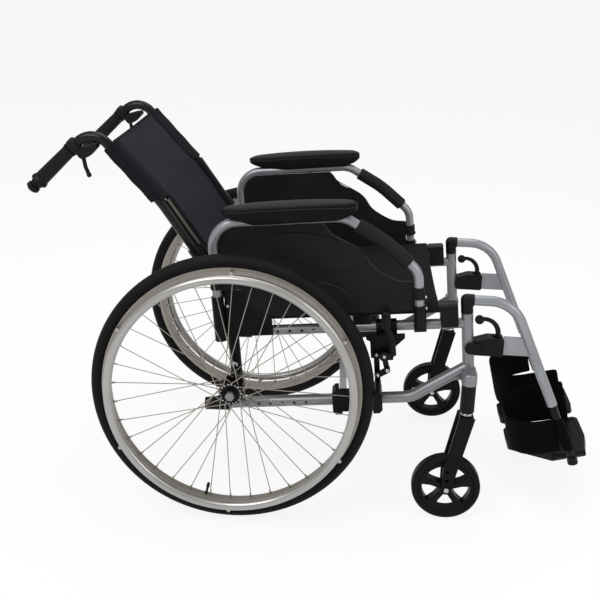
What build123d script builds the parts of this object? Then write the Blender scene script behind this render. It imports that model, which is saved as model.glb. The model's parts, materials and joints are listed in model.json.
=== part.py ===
from build123d import *
from math import atan2, cos, degrees, hypot, radians, sin, sqrt, tan
import os

# Folding wheelchair with a reclining back, in millimetres: +X forward, +Y to the occupant's left, +Z up.
# Right-hand pieces are drawn on the -Y side and mirrored for the left. While drawing, X = 0 is the rear axle
# and Z = 0 the floor; at the end all pieces move so that the origin is the bottom centre of the whole chair.
# The side frame is square to the seat, which rises to the front, so its pieces are drawn in a plane tilted by
# that slope: s runs forward along the tubes, t runs up across them. "d" is the distance from the middle plane.

# Slope and planes
SLOPE = 5.7
FRAME_D = 205.0
ARM_OUT = 27.0
ARM_D = FRAME_D + ARM_OUT
WHEEL_OUT = 83.0
WHEEL_D = FRAME_D + WHEEL_OUT
CASTER_OUT = 33.0
CASTER_D = FRAME_D + CASTER_OUT

# Fits
RUN = 0.05
TOUCH = 0.3

# Side frame tubes
TOP_TUBE_R = 11.0
LOWER_TUBE_R = 12.5
UPRIGHT_R = 12.5
TOP_T = 396.0
LOWER_T = 228.0
UPRIGHT_S = 531.5
UPRIGHT_RISE = 23.0
UPRIGHT_TOP_T = TOP_T + UPRIGHT_RISE
LOWER_BEND_S = 405.0
LOWER_BEND_R = 60.0
LOWER_FRONT_T = 297.0
LOWER_REAR_S = -5.0
FRAME_HOLE_R = 3.25
TOP_HOLE_FIRST_S = 128.0
TOP_HOLE_PITCH = 26.0
TOP_HOLES = 4
LOWER_HOLE_FIRST_S = 48.0
LOWER_HOLE_PITCH = 26.0
LOWER_HOLES = 6
GUSSET_LENGTH = 62.0
GUSSET_T = 6.0
LUG_R = 16.0
LUG_H = 26.0
LEG_PIN_R = 8.0
LEG_PIN_H = 27.0

# Rear bracket: plate, upright, axle sleeve, armrest socket and back pivot
REAR_UPRIGHT_R = 12.5
REAR_UPRIGHT_RISE = 16.0
REAR_UPRIGHT_TOP_T = TOP_T + REAR_UPRIGHT_RISE
PLATE_T = 4.5
PLATE_LAP = 5.0
PLATE_BOTTOM_T = TOP_T - PLATE_LAP
PLATE_RISE = 100.0
PLATE_TOP_T = TOP_T + PLATE_RISE
PLATE_FRONT_S = 118.0
PLATE_STEP_RISE = 36.0
PLATE_STEP_T = TOP_T + PLATE_STEP_RISE
PLATE_STEP_S = 63.0
PLATE_REAR_S = 14.0
SLEEVE_R = 14.0
AXLE_R = 6.0
AXLE_HEAD_R = 10.0
AXLE_HEAD_H = 8.0
PIVOT_S = 53.0
PIVOT_RISE = 37.0
PIVOT_T = TOP_T + PIVOT_RISE
PIVOT_R = 5.0
PIVOT_HEAD_R = 9.0
PIVOT_HEAD_H = 4.5

# Rear wheel
TYRE_R = 300.0
TYRE_W = 32.0
TYRE_H = 28.0
RIM_SEAT = 25.0
RIM_OUTER_R = TYRE_R - RIM_SEAT
RIM_DEPTH = 16.0
RIM_INNER_R = RIM_OUTER_R - RIM_DEPTH
RIM_W = 24.0
RIM_EDGE_W = 15.0
HANDRIM_INSET = 17.0
HANDRIM_R = RIM_OUTER_R - HANDRIM_INSET
HANDRIM_TUBE_R = 9.5
HANDRIM_REACH = 34.0
HANDRIM_TAB_R = 4.0
HANDRIM_TABS = 6
SPOKES = 36
SPOKE_R = 1.0
SPOKE_CROSS = 3
SPOKE_PITCH_R = 21.5
FLANGE_R = 25.0
FLANGE_T = 4.0
FLANGE_REACH = 20.0
HUB_R = 13.0
HUB_HALF_W = 28.0

# Front caster
CASTER_R = 75.0
CASTER_TYRE_H = 15.0
CASTER_TYRE_W = 28.0
CASTER_WHEEL_W = 22.0
CASTER_RIM_T = 8.0
CASTER_HUB_R = 14.0
CASTER_SPOKES = 5
CASTER_SPOKE_W = 13.0
CASTER_FLARE_W = 24.0
CASTER_AXLE_R = 5.0
CASTER_TRAIL = 32.0
STEM_S = 532.3
STEM_R = 6.0
HOUSING_R = 15.5
HOUSING_H = 64.0
WASHER_R = 12.0
WASHER_H = 8.0
FORK_LEG_T = 5.0
FORK_LEG_W = 34.0
FORK_FOOT_R = 11.0
FORK_CROWN_H = 15.0
FORK_SIDE_GAP = 3.0
FORK_HOLE_PITCH = 22.0
FORK_HOLES = 2

# Seat rails, cross brace and fold
RAIL_R = 11.0
RAIL_RISE = 37.0
RAIL_T = TOP_T + RAIL_RISE
RAIL_REAR_S = 78.0
RAIL_FRONT_S = 512.0
BRACE_S = 267.0
BRACE_T = 14.0
BRACE_W = 30.0
BRACE_GAP = 2.0
BRACE_RING_WALL = 2.8
BRACE_RING_R = LOWER_TUBE_R + BRACE_RING_WALL
BRACE_RING_PLAY = 0.5
BRACE_PIN_R = 6.0
BRACE_PIN_HEAD_R = 10.0
BRACE_PIN_HEAD_H = 4.0
BRACE_WEB_T = 5.0
BRACE_WEB_S = 84.0
BRACE_WEB_DROP = 70.0
FOLD_ANGLE = 45.0

# Black fittings on the side frame
HOLDER_LENGTH = 37.0
HOLDER_W = 34.0
HOLDER_FOOT = 3.0
HOLDER_LIP = 8.0
HOLDER_SIDE_T = RAIL_T + HOLDER_LIP
SADDLE_AHEAD = 43.0
SADDLE_S = BRACE_S + SADDLE_AHEAD
SADDLE_LENGTH = 37.0
SADDLE_W = 22.0
CLAMP_BEHIND = 31.0
CLAMP_LENGTH = 108.0
CLAMP_REAR_S = BRACE_S - CLAMP_BEHIND
CLAMP_FRONT_S = CLAMP_REAR_S + CLAMP_LENGTH
CLAMP_H = 57.0
CLAMP_WALL = 3.2
CLAMP_W = 2 * (BRACE_RING_R + BRACE_RING_PLAY + CLAMP_WALL)
CLAMP_CHAMFER = 7.0
CLAMP_SIDE_PLAY = 1.5
TIP_LENGTH = 41.0
TIP_OVERLAP = 13.0
TIP_R = 13.5
TIP_ROOT_R = 17.0
TIP_BORE_R = 9.6
TIP_BORE_DEPTH = 38.0

# Armrest
ARM_TUBE_R = 10.0
ARM_REAR_S = 8.0
ARM_FRONT_S = 431.5
ARM_RISE = 252.5
ARM_TOP_T = TOP_T + ARM_RISE
ARM_SLOPE_S = 285.0
ARM_SLOPE_DROP = 123.5
ARM_SLOPE_T = ARM_TOP_T - ARM_SLOPE_DROP
ARM_REAR_BEND = 55.0
ARM_SLOPE_BEND = 60.0
ARM_FRONT_BEND = 45.0
ARM_BOW = 9.0
ARM_BOW_R = 260.0
SOCKET_R = 13.0
SOCKET_FLOOR = 5.0
REAR_SOCKET_DROP = 7.0
REAR_SOCKET_BOTTOM_T = TOP_T - REAR_SOCKET_DROP
REAR_SOCKET_SHORT = 8.0
REAR_SOCKET_TOP_T = PLATE_TOP_T - REAR_SOCKET_SHORT
FRONT_SOCKET_RISE = 3.0
FRONT_SOCKET_BOTTOM_T = TOP_T + FRONT_SOCKET_RISE
FRONT_SOCKET_H = 51.0
FRONT_SOCKET_TOP_T = FRONT_SOCKET_BOTTOM_T + FRONT_SOCKET_H
ARM_LIFT = 90.0
COLLAR_R = 12.5
REAR_COLLAR_GAP = 17.0
REAR_COLLAR_T = REAR_SOCKET_TOP_T + REAR_COLLAR_GAP
REAR_COLLAR_H = 15.0
FRONT_COLLAR_GAP = 15.0
FRONT_COLLAR_T = FRONT_SOCKET_TOP_T + FRONT_COLLAR_GAP
FRONT_COLLAR_H = 25.0
FOAM_R = 15.0
FOAM_REAR_GAP = 32.0
FOAM_FRONT_GAP = 26.0
PAD_REAR_S = 36.0
PAD_LENGTH = 278.0
PAD_W = 46.0
PAD_H = 31.0
PAD_CROWN = 6.0
PAD_ROUND = 8.0
PAD_REAR_BEVEL = 34.0
PAD_REAR_LIFT = 13.0
PAD_NOSE_BEVEL = 16.0
PAD_NOSE_LIFT = 10.0
PAD_INSET = 11.0
PAD_INNER_D = ARM_D - PAD_INSET
PANEL_INSET = 8.0
PANEL_D = ARM_D - PANEL_INSET
PANEL_T = 4.0
PANEL_EDGE = 9.5
PANEL_RISE = 40.0
PANEL_BOTTOM_T = TOP_T + PANEL_RISE
PANEL_REAR_RISE = 104.0
PANEL_REAR_T = TOP_T + PANEL_REAR_RISE
PANEL_STEP_S = 128.0
PANEL_STEP_TOP_S = 62.0
PANEL_BADGE_S = 225.0
PANEL_BADGE_DROP = 71.5
PANEL_BADGE_T = ARM_TOP_T - PANEL_BADGE_DROP
PANEL_BADGE_LENGTH = 208.0
PANEL_BADGE_H = 70.0
PANEL_BADGE_TURN = -14.0
PANEL_BADGE_RISE = 1.5

# Parking brake
SHOE_R = 7.0
SHOE_ANGLE = 2.3
SHOE_OVERHANG = 2.0
SHOE_BAR_T = 8.0
SHOE_BAR_W = 12.0
SHOE_BAR_LENGTH = 64.0
LINK_DROP = 39.0
BRAKE_PIVOT_AHEAD = 16.0
BRAKE_ARM_AHEAD = 5.0
BRAKE_ARM_DROP = 29.0
BRAKE_PIN_R = 3.0
BRAKE_OUT = 21.0
BRAKE_PLATE_D = FRAME_D + BRAKE_OUT
BRAKE_PLATE_T = 6.0
BRAKE_LEVER_T = 10.0
BRAKE_GAP = 1.0
BRAKE_LINK_T = 4.0
BRAKE_LINK_PLAY = 0.7
BRAKE_CLAMP_R = 15.5
BRAKE_CLAMP_LENGTH = 44.0
BRAKE_HANDLE_H = 102.0
BRAKE_HANDLE_R = 10.0
BRAKE_SHANK_R = 7.0
BRAKE_TURN = -45.0

# Legrest hanger, latch and foot tube
HANGER_R = 11.0
HANGER_RISE = 28.5
HANGER_T = UPRIGHT_TOP_T + HANGER_RISE
HANGER_REACH = 98.5
HANGER_BEND = 75.0
HANGER_LEAN = 24.0
HANGER_DROP = 231.0
ELBOW_R = 13.0
ELBOW_REACH = 15.0
LATCH_DROP = 70.7
LATCH_H = 40.0
LATCH_W = 30.0
LATCH_AHEAD = 15.0
LATCH_LENGTH = 64.0
LATCH_CHEEK = 18.0
LATCH_CHEEK_T = 6.0
LATCH_CLEAR = 0.6
LATCH_BAR_T = 8.0
LEVER_SLOT_W = 14.0
LEVER_PIVOT_BACK = 15.0
LEVER_PIVOT_RISE = 7.0
LEVER_PIN_R = 3.0
LEVER_ROOT_R = 8.0
LEVER_R = 6.2
LEVER_NECK_R = 4.2
LEVER_RISE = 52.0
LEVER_BACK = 38.5
LEVER_BALL_R = 10.0
LEVER_TURN = 18.0
FOOT_TUBE_R = 8.5
FOOT_TUBE_LENGTH = 140.0
LEG_SWING = 90.0

# Footplate and heel strap
HINGE_INBOARD = 25.0
PLATE_TILT = 14.0
KNUCKLE_R = 9.0
KNUCKLE_W = 18.0
KNUCKLE_GAP = 0.5
LUG_LENGTH = 24.0
HINGE_PIN_R = 4.0
FOOT_REACH = 154.0
FOOT_FRONT = 46.0
FOOT_REAR = 128.0
FOOT_CUT_V = 86.0
FOOT_CUT_U = 40.0
FOOT_TOP = 4.0
FOOT_BOTTOM = 16.0
FOOT_CORNER = 14.0
FOOT_RECESS = 2.0
FOOT_RIM = 9.0
TONGUE_W = 24.0
TONGUE_T = 5.0
TONGUE_H = 66.0
TONGUE_U = 14.0
FLIP_ANGLE = 90.0
STRAP_T = 2.5
STRAP_W = 70.0
STRAP_LOW = 30.0
STRAP_BACK = 124.0
STRAP_BEND = 70.0

# Back canes, push handles and recline
CANE_R = 11.0
CANE_LEAN = 35.5
CANE_BEND = 7.5
CANE_LOWER = 297.0
CANE_UPPER = 165.0
CANE_BEND_R = 160.0
HANDLE_BEND_R = 42.0
HANDLE_TURN = 92.5
CANE_BOSS_R = 15.0
CANE_BOSS_W = 22.0
RECLINE_RANGE = 30.0
ROD_R = 3.5
ROD_START = 181.0
ROD_END = 296.0
ROD_BLOCK_LENGTH = 27.0
ROD_BLOCK_R = 15.5
HOUSING_START = 2.0
COLLAR_LENGTH = 19.0
RELEASE_COLLAR_R = 17.0
GRIP_START = 23.0
GRIP_LENGTH = 96.0
GRIP_R = 14.2
GRIP_SWELL = 1.6
GRIP_LIP_R = 15.8
GRIP_LIP_T = 4.0
GRIP_FLANGE_R = 18.5
GRIP_FLANGE_T = 6.0
GRIP_RING_R = 13.0
GRIP_RING_T = 4.0
GRIP_NECK_R = 8.0
GRIP_NECK = 4.0
KNOB_R = 14.5
KNOB_LENGTH = 13.0
RELEASE_EAR_T = 6.0
RELEASE_EAR_R = 8.0
RELEASE_DROP = 24.0
RELEASE_LEVER_T = 10.0
RELEASE_LEVER_LENGTH = 46.0
RELEASE_LEVER_R = 4.2
RELEASE_PIN_R = 2.5
RELEASE_TURN = 25.0
HOUSING_REACH = 26.0

# Slings
SEAT_T = 3.0
SEAT_SAG = 14.0
SEAT_REAR_S = 86.0
SEAT_FRONT_S = 472.0
SEAT_HEM_DROP = 7.0
SEAT_NOTCH = 4.0
BACK_T = 4.0
BACK_SAG = 16.0
BACK_FRONT = 8.0
BACK_SLEEVE_T = 4.0
BACK_SLEEVE_END = 6.0
BACK_LOW_INSET = 17.0
BACK_LOW_EDGE = FRAME_D - BACK_LOW_INSET
BACK_LOW_START = 48.0

# Shared planes: SIDE is upright, TILT follows the seat slope; both face outboard on the right-hand side
SIDE = Plane.XZ
SLOPE_COS = cos(radians(SLOPE))
SLOPE_SIN = sin(radians(SLOPE))
ALONG = Vector(SLOPE_COS, 0, SLOPE_SIN)
ACROSS = Vector(-SLOPE_SIN, 0, SLOPE_COS)
TILT = Plane(origin=(0, 0, 0), x_dir=ALONG, z_dir=(0, -1, 0))
AXLE_S = TYRE_R * SLOPE_SIN
AXLE_T = TYRE_R * SLOPE_COS
LATCH_Z = UPRIGHT_S * SLOPE_SIN + UPRIGHT_TOP_T * SLOPE_COS - LATCH_DROP
CENTRED = (Align.CENTER, Align.CENTER, Align.MIN)


def tilted(s, t, d):
    """Point at s along and t above the sloping frame lines, d outboard on the right-hand side."""
    return ALONG * s + ACROSS * t + Vector(0, -d, 0)


def across(base, x, y, near, far, radius):
    """Round bar square to the base plane, from near to far outboard."""
    return base.offset(near) * Pos(x, y) * Cylinder(radius, far - near, align=CENTRED)


def slab(base, sketch, near, far):
    """Flat sketch in the base plane, given a thickness from near to far outboard."""
    return extrude(base.offset(near) * sketch, far - near)


def bar(start, end, radius):
    """Straight round bar between two points."""
    run = Vector(end) - Vector(start)
    return extrude(Plane(origin=start, z_dir=run) * Circle(radius), run.length)


def bent_tube(base, d, points, bends, radius):
    """Round tube through points of the base plane, d outboard, with one bend radius for each corner."""
    plane = base.offset(d)
    path = FilletPolyline([plane.from_local_coords((x, y, 0)) for x, y in points], radius=bends)
    return sweep(Plane(origin=path @ 0, z_dir=path % 0) * Circle(radius), path)


def shape(*edges):
    """Face inside a closed run of edges."""
    return make_face(Curve() + list(edges))


def polygon(*points):
    """Face inside straight sides."""
    return make_face(Polyline(*points, close=True))


def along_bar(s_start, s_end, t, d, radius):
    """Round bar along the frame slope."""
    return bar(tilted(s_start, t, d), tilted(s_end, t, d), radius)


def side_frame():
    """Welded aluminium tubes of one side, with the caster lug and the legrest pin."""
    top = along_bar(AXLE_S + REAR_UPRIGHT_R, UPRIGHT_S, TOP_T, FRAME_D, TOP_TUBE_R)
    lower_points = [(LOWER_REAR_S, LOWER_T), (LOWER_BEND_S, LOWER_T), (UPRIGHT_S, LOWER_FRONT_T)]
    lower = bent_tube(TILT, FRAME_D, lower_points, [LOWER_BEND_R], LOWER_TUBE_R)
    foot = lug_top_z() - LUG_H / 2
    foot_t = (foot - UPRIGHT_S * SLOPE_SIN) / SLOPE_COS
    upright = bar(tilted(UPRIGHT_S, foot_t, FRAME_D), tilted(UPRIGHT_S, UPRIGHT_TOP_T, FRAME_D), UPRIGHT_R)
    pin_top = UPRIGHT_TOP_T + LEG_PIN_H
    pin = bar(tilted(UPRIGHT_S, UPRIGHT_TOP_T, FRAME_D), tilted(UPRIGHT_S, pin_top, FRAME_D), LEG_PIN_R)
    frame = top + lower + upright + pin + caster_lug() + gusset()
    for index in range(TOP_HOLES):
        s = TOP_HOLE_FIRST_S + index * TOP_HOLE_PITCH
        frame -= across(TILT, s, TOP_T, FRAME_D - 2 * TOP_TUBE_R, FRAME_D + 2 * TOP_TUBE_R, FRAME_HOLE_R)
    for index in range(LOWER_HOLES):
        s = LOWER_HOLE_FIRST_S + index * LOWER_HOLE_PITCH
        frame -= across(TILT, s, LOWER_T, FRAME_D - 2 * LOWER_TUBE_R, FRAME_D + 2 * LOWER_TUBE_R, FRAME_HOLE_R)
    return frame


def stem_x():
    """X of the caster's swivel line."""
    return tilted(STEM_S, LOWER_FRONT_T, 0).X


def lug_top_z():
    """Height of the caster lug's top, level with the lower tube's front end."""
    return tilted(UPRIGHT_S, LOWER_FRONT_T, 0).Z - 2.0


def housing_top_z():
    """Height where the caster housing meets the lug."""
    return lug_top_z() - LUG_H


def caster_lug():
    """Rounded lug that carries the caster housing outboard of the front upright."""
    gap = CASTER_D - FRAME_D
    outline = Pos(stem_x(), -(FRAME_D + gap / 2)) * Rot(0, 0, 90) * SlotCenterToCenter(gap, 2 * LUG_R)
    lug = extrude(Plane.XY.offset(housing_top_z()) * outline, LUG_H)
    return fillet(lug.edges().group_by(Axis.Z)[-1], 5.0)


def gusset():
    """Flat web under the rising part of the lower tube, behind the caster lug."""
    rise = (LOWER_FRONT_T - LOWER_T) / (UPRIGHT_S - LOWER_BEND_S)
    front = (UPRIGHT_S, LOWER_FRONT_T)
    low = (UPRIGHT_S, LOWER_FRONT_T - LUG_H - LOWER_TUBE_R / 2)
    rear = (UPRIGHT_S - GUSSET_LENGTH, LOWER_FRONT_T - rise * GUSSET_LENGTH)
    web = shape(Line(front, low), TangentArc(low, rear, tangent=(-1, 0.05)), Line(rear, front))
    return slab(TILT, web, FRAME_D - GUSSET_T / 2, FRAME_D + GUSSET_T / 2)


def axle():
    """Wheel axle bolt, from the frame to a hexagon head outside the hub."""
    outer = WHEEL_D + HUB_HALF_W + TOUCH
    shaft = across(SIDE, 0, TYRE_R, FRAME_D - REAR_UPRIGHT_R, outer, AXLE_R)
    head = extrude(SIDE.offset(outer) * Pos(0, TYRE_R) * RegularPolygon(AXLE_HEAD_R, 6), AXLE_HEAD_H)
    return shaft + head


def rear_bracket():
    """Black plate and upright that carry the axle, the back pivot and the rear armrest socket."""
    bottom = LOWER_T + LOWER_TUBE_R
    upright = bar(tilted(AXLE_S, bottom, FRAME_D), tilted(AXLE_S, REAR_UPRIGHT_TOP_T, FRAME_D), REAR_UPRIGHT_R)
    near = FRAME_D + REAR_UPRIGHT_R
    far = near + PLATE_T
    top_rear = (PLATE_REAR_S + 8.0, PLATE_TOP_T)
    step = (PLATE_STEP_S, PLATE_TOP_T)
    shelf = (PLATE_FRONT_S, PLATE_STEP_T)
    outline = shape(
        Polyline(shelf, (PLATE_FRONT_S, PLATE_BOTTOM_T), (PLATE_REAR_S, PLATE_BOTTOM_T), top_rear, step),
        TangentArc(step, shelf, tangent=(0.3, -1)),
    )
    plate = slab(TILT, outline, near - 0.5, far)
    plate -= along_bar(AXLE_S, PLATE_FRONT_S + 1, TOP_T, FRAME_D, TOP_TUBE_R + RUN)
    pivot = across(TILT, PIVOT_S, PIVOT_T, FRAME_D - CANE_BOSS_W / 2 - 2 * TOUCH, far, PIVOT_R)
    head_far = FRAME_D - CANE_BOSS_W / 2 - TOUCH
    pivot += across(TILT, PIVOT_S, PIVOT_T, head_far - PIVOT_HEAD_H, head_far, PIVOT_HEAD_R)
    sleeve = across(SIDE, 0, TYRE_R, FRAME_D, WHEEL_D - HUB_HALF_W - TOUCH, SLEEVE_R)
    socket = arm_socket(ARM_REAR_S, REAR_SOCKET_BOTTOM_T, REAR_SOCKET_TOP_T)
    bracket = upright + plate + pivot + sleeve + socket
    return bracket - across(SIDE, 0, TYRE_R, 0, WHEEL_D, AXLE_R + RUN)


def arm_socket(s, bottom_t, top_t):
    """Blind upright socket that an armrest leg slides into."""
    socket = bar(tilted(s, bottom_t, ARM_D), tilted(s, top_t, ARM_D), SOCKET_R)
    return socket - bar(tilted(s, bottom_t + SOCKET_FLOOR, ARM_D), tilted(s, top_t, ARM_D), ARM_TUBE_R + RUN)


def front_socket():
    """Front armrest socket with the foot that holds it to the top tube."""
    socket = arm_socket(ARM_FRONT_S, FRONT_SOCKET_BOTTOM_T, FRONT_SOCKET_TOP_T)
    foot = Pos(ARM_FRONT_S, TOP_T) * Rectangle(2 * SOCKET_R, 2 * TOP_TUBE_R)
    socket += slab(TILT, foot, FRAME_D, ARM_D - ARM_TUBE_R - 1.0)
    return socket - along_bar(ARM_FRONT_S - 50, ARM_FRONT_S + 50, TOP_T, FRAME_D, TOP_TUBE_R + RUN)


def rail_holder():
    """Moulded block on the top tube with an open cradle for the end of the seat rail."""
    middle = RAIL_FRONT_S - HOLDER_LENGTH / 2
    height = HOLDER_SIDE_T - TOP_T + HOLDER_FOOT
    outline = Pos(middle, HOLDER_SIDE_T - height / 2) * RectangleRounded(HOLDER_LENGTH, height, 4.0)
    block = slab(TILT, outline, FRAME_D - HOLDER_W / 2, FRAME_D + HOLDER_W / 2)
    block -= along_bar(0, UPRIGHT_S, TOP_T, FRAME_D, TOP_TUBE_R + RUN)
    cradle = Pos(middle, RAIL_T + RAIL_R) * Rectangle(2 * HOLDER_LENGTH, 2 * RAIL_R)
    block -= slab(TILT, cradle, FRAME_D - RAIL_R - TOUCH, FRAME_D + RAIL_R + TOUCH)
    return block - along_bar(0, UPRIGHT_S, RAIL_T, FRAME_D, RAIL_R + TOUCH)


def rail_saddle():
    """Low saddle between the top tube and the middle of the seat rail."""
    outline = Pos(SADDLE_S, (TOP_T + RAIL_T) / 2) * RectangleRounded(SADDLE_LENGTH, RAIL_T - TOP_T - 8.0, 3.0)
    saddle = slab(TILT, outline, FRAME_D - SADDLE_W / 2, FRAME_D + SADDLE_W / 2 - 3.0)
    saddle -= along_bar(0, UPRIGHT_S, TOP_T, FRAME_D, TOP_TUBE_R + RUN)
    return saddle - along_bar(0, UPRIGHT_S, RAIL_T, FRAME_D, RAIL_R + TOUCH)


def tube_clamp():
    """Black bearing block round the lower tube, open inboard where a ring of the cross brace turns in it."""
    length = CLAMP_FRONT_S - CLAMP_REAR_S
    outline = Pos(CLAMP_REAR_S + length / 2, LOWER_T) * Rectangle(length, CLAMP_H)
    block = slab(TILT, chamfer(outline.vertices(), CLAMP_CHAMFER), FRAME_D - CLAMP_W / 2, FRAME_D + CLAMP_W / 2)
    slot = Pos(CLAMP_REAR_S + length / 2, LOWER_T - CLAMP_H / 2) * Rectangle(length * 0.62, 2 * CLAMP_CHAMFER)
    block -= slab(TILT, slot, 0, 2 * FRAME_D)
    rear = BRACE_S - BRACE_T - BRACE_GAP / 2 - CLAMP_SIDE_PLAY
    front = BRACE_S + BRACE_T + BRACE_GAP / 2 + CLAMP_SIDE_PLAY
    room = BRACE_RING_R + BRACE_RING_PLAY
    block -= along_bar(rear, front, LOWER_T, FRAME_D, room)
    rest = degrees(atan2(RAIL_T - LOWER_T, 2 * FRAME_D))
    reach = BRACE_W / 2 + CLAMP_SIDE_PLAY
    mouth = polygon(
        (0, 0), along_ray(rest, 0, -reach), along_ray(rest, CLAMP_H, -reach),
        (2 * CLAMP_H, 2 * CLAMP_H), along_ray(rest + FOLD_ANGLE, 2 * CLAMP_H, reach),
        along_ray(rest + FOLD_ANGLE, 0, reach),
    )
    plane = cross_section(rear)
    block -= extrude(plane * Pos(-FRAME_D, LOWER_T) * mouth, front - rear)
    return block - along_bar(0, LOWER_BEND_S, LOWER_T, FRAME_D, LOWER_TUBE_R + RUN)


def along_ray(angle, out, side):
    """Point at a distance along a ray from the origin, moved to one side of it."""
    turn = radians(angle)
    return out * cos(turn) - side * sin(turn), out * sin(turn) + side * cos(turn)


def tipping_end():
    """Tapered black end on the lower tube, with the open bore that takes an anti-tip bar."""
    rear = LOWER_REAR_S - TIP_LENGTH
    front = LOWER_REAR_S + TIP_OVERLAP
    base = Plane(origin=tilted(rear, LOWER_T, FRAME_D), z_dir=ALONG)
    tip = loft([base * Circle(TIP_R), base.offset(front - rear) * Circle(TIP_ROOT_R)])
    tip -= along_bar(LOWER_REAR_S, front + 1, LOWER_T, FRAME_D, LOWER_TUBE_R + RUN)
    return tip - along_bar(rear - 1, rear + TIP_BORE_DEPTH, LOWER_T, FRAME_D, TIP_BORE_R)


def caster_housing():
    """Upright black bearing housing that the caster stem turns in."""
    top = housing_top_z()
    housing = Pos(stem_x(), -CASTER_D, top - HOUSING_H) * Cylinder(HOUSING_R, HOUSING_H, align=CENTRED)
    housing = chamfer(housing.edges().group_by(Axis.Z)[0], 1.5)
    bore_h = HOUSING_H - 8.0
    return housing - Pos(stem_x(), -CASTER_D, top - HOUSING_H) * Cylinder(STEM_R + RUN, bore_h, align=CENTRED)


def frame_fittings():
    """Separate black mouldings fixed to the side frame."""
    return [front_socket(), rail_holder(), rail_saddle(), tube_clamp(), tipping_end(), caster_housing()]


def wheel_section():
    """Half-plane through the wheel's axle: x outboard of the wheel's middle, y the radius."""
    return Plane(origin=(0, -WHEEL_D, TYRE_R), x_dir=(0, -1, 0), z_dir=(-1, 0, 0))


def spin(section):
    """Turn a section round the rear axle."""
    return revolve(wheel_section() * section, Axis((0, 0, TYRE_R), (0, 1, 0)))


def tyre():
    """Pneumatic tyre with a rounded tread, seated on the rim."""
    section = Pos(0, TYRE_R - TYRE_H / 2) * Ellipse(TYRE_W / 2, TYRE_H / 2)
    section -= Pos(0, RIM_OUTER_R + RUN) * Rectangle(TYRE_W, TYRE_H, align=(Align.CENTER, Align.MAX))
    return spin(section)


def rim():
    """Box rim, narrower towards the hub."""
    outer = RIM_W / 2
    inner = RIM_EDGE_W / 2
    waist = RIM_OUTER_R - 6.0
    section = polygon(
        (-outer, RIM_OUTER_R), (outer, RIM_OUTER_R), (outer, waist),
        (inner, RIM_INNER_R), (-inner, RIM_INNER_R), (-outer, waist),
    )
    return spin(section)


def handrim():
    """Push rim on short tabs outboard of the wheel rim."""
    ring = Plane(origin=(0, -WHEEL_D - HANDRIM_REACH, TYRE_R), z_dir=(0, -1, 0)) * Torus(HANDRIM_R, HANDRIM_TUBE_R)
    near = WHEEL_D + RIM_W / 2 + RUN
    far = WHEEL_D + HANDRIM_REACH
    radius = RIM_OUTER_R - HANDRIM_TAB_R - 1.0
    for index in range(HANDRIM_TABS):
        angle = radians(30 + 360 * index / HANDRIM_TABS)
        ring += across(SIDE, radius * cos(angle), TYRE_R + radius * sin(angle), near, far, HANDRIM_TAB_R)
    return ring


def hub():
    """Wheel hub: two spoke flanges on a barrel with a through bore."""
    half = FLANGE_T / 2
    barrel = across(SIDE, 0, TYRE_R, WHEEL_D - HUB_HALF_W, WHEEL_D + HUB_HALF_W, HUB_R)
    for middle in (WHEEL_D - FLANGE_REACH, WHEEL_D + FLANGE_REACH):
        barrel += across(SIDE, 0, TYRE_R, middle - half, middle + half, FLANGE_R)
    return barrel - across(SIDE, 0, TYRE_R, 0, 2 * WHEEL_D, AXLE_R + RUN)


def wheel_point(radius, angle, d):
    """Point on the wheel at a radius and an angle round the axle."""
    return Vector(radius * cos(angle), -d, TYRE_R + radius * sin(angle))


def spokes():
    """Crossed spokes: odd ones leave their flange's outer face, even ones its inner face."""
    lift = FLANGE_T / 2 + SPOKE_R + TOUCH
    edge_run = sqrt(FLANGE_R ** 2 - SPOKE_PITCH_R ** 2)
    dip = FLANGE_REACH / (RIM_INNER_R - SPOKE_PITCH_R) * edge_run
    per_flange = SPOKES // 2
    sweep_angle = radians(360 * SPOKE_CROSS / per_flange)
    wires = []
    for side in (1, -1):
        for index in range(per_flange):
            trailing = index % 2
            start_angle = radians(360 / per_flange * (index + (0.5 if side < 0 else 0.0)))
            end_angle = start_angle + (-sweep_angle if trailing else sweep_angle)
            offset = FLANGE_REACH + (lift + dip if trailing else -lift)
            start = wheel_point(SPOKE_PITCH_R, start_angle, WHEEL_D + side * offset)
            end = wheel_point(RIM_INNER_R - TOUCH, end_angle, WHEEL_D)
            run = end - start
            wires.append(extrude(Plane(origin=start, z_dir=run) * RegularPolygon(SPOKE_R, 6), run.length))
    return wires


def caster_x():
    """X of the caster's wheel, which trails behind its stem."""
    return stem_x() - CASTER_TRAIL


def fork_top_z():
    """Top of the fork's crown, below the housing and its washer."""
    return housing_top_z() - HOUSING_H - WASHER_H


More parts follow.
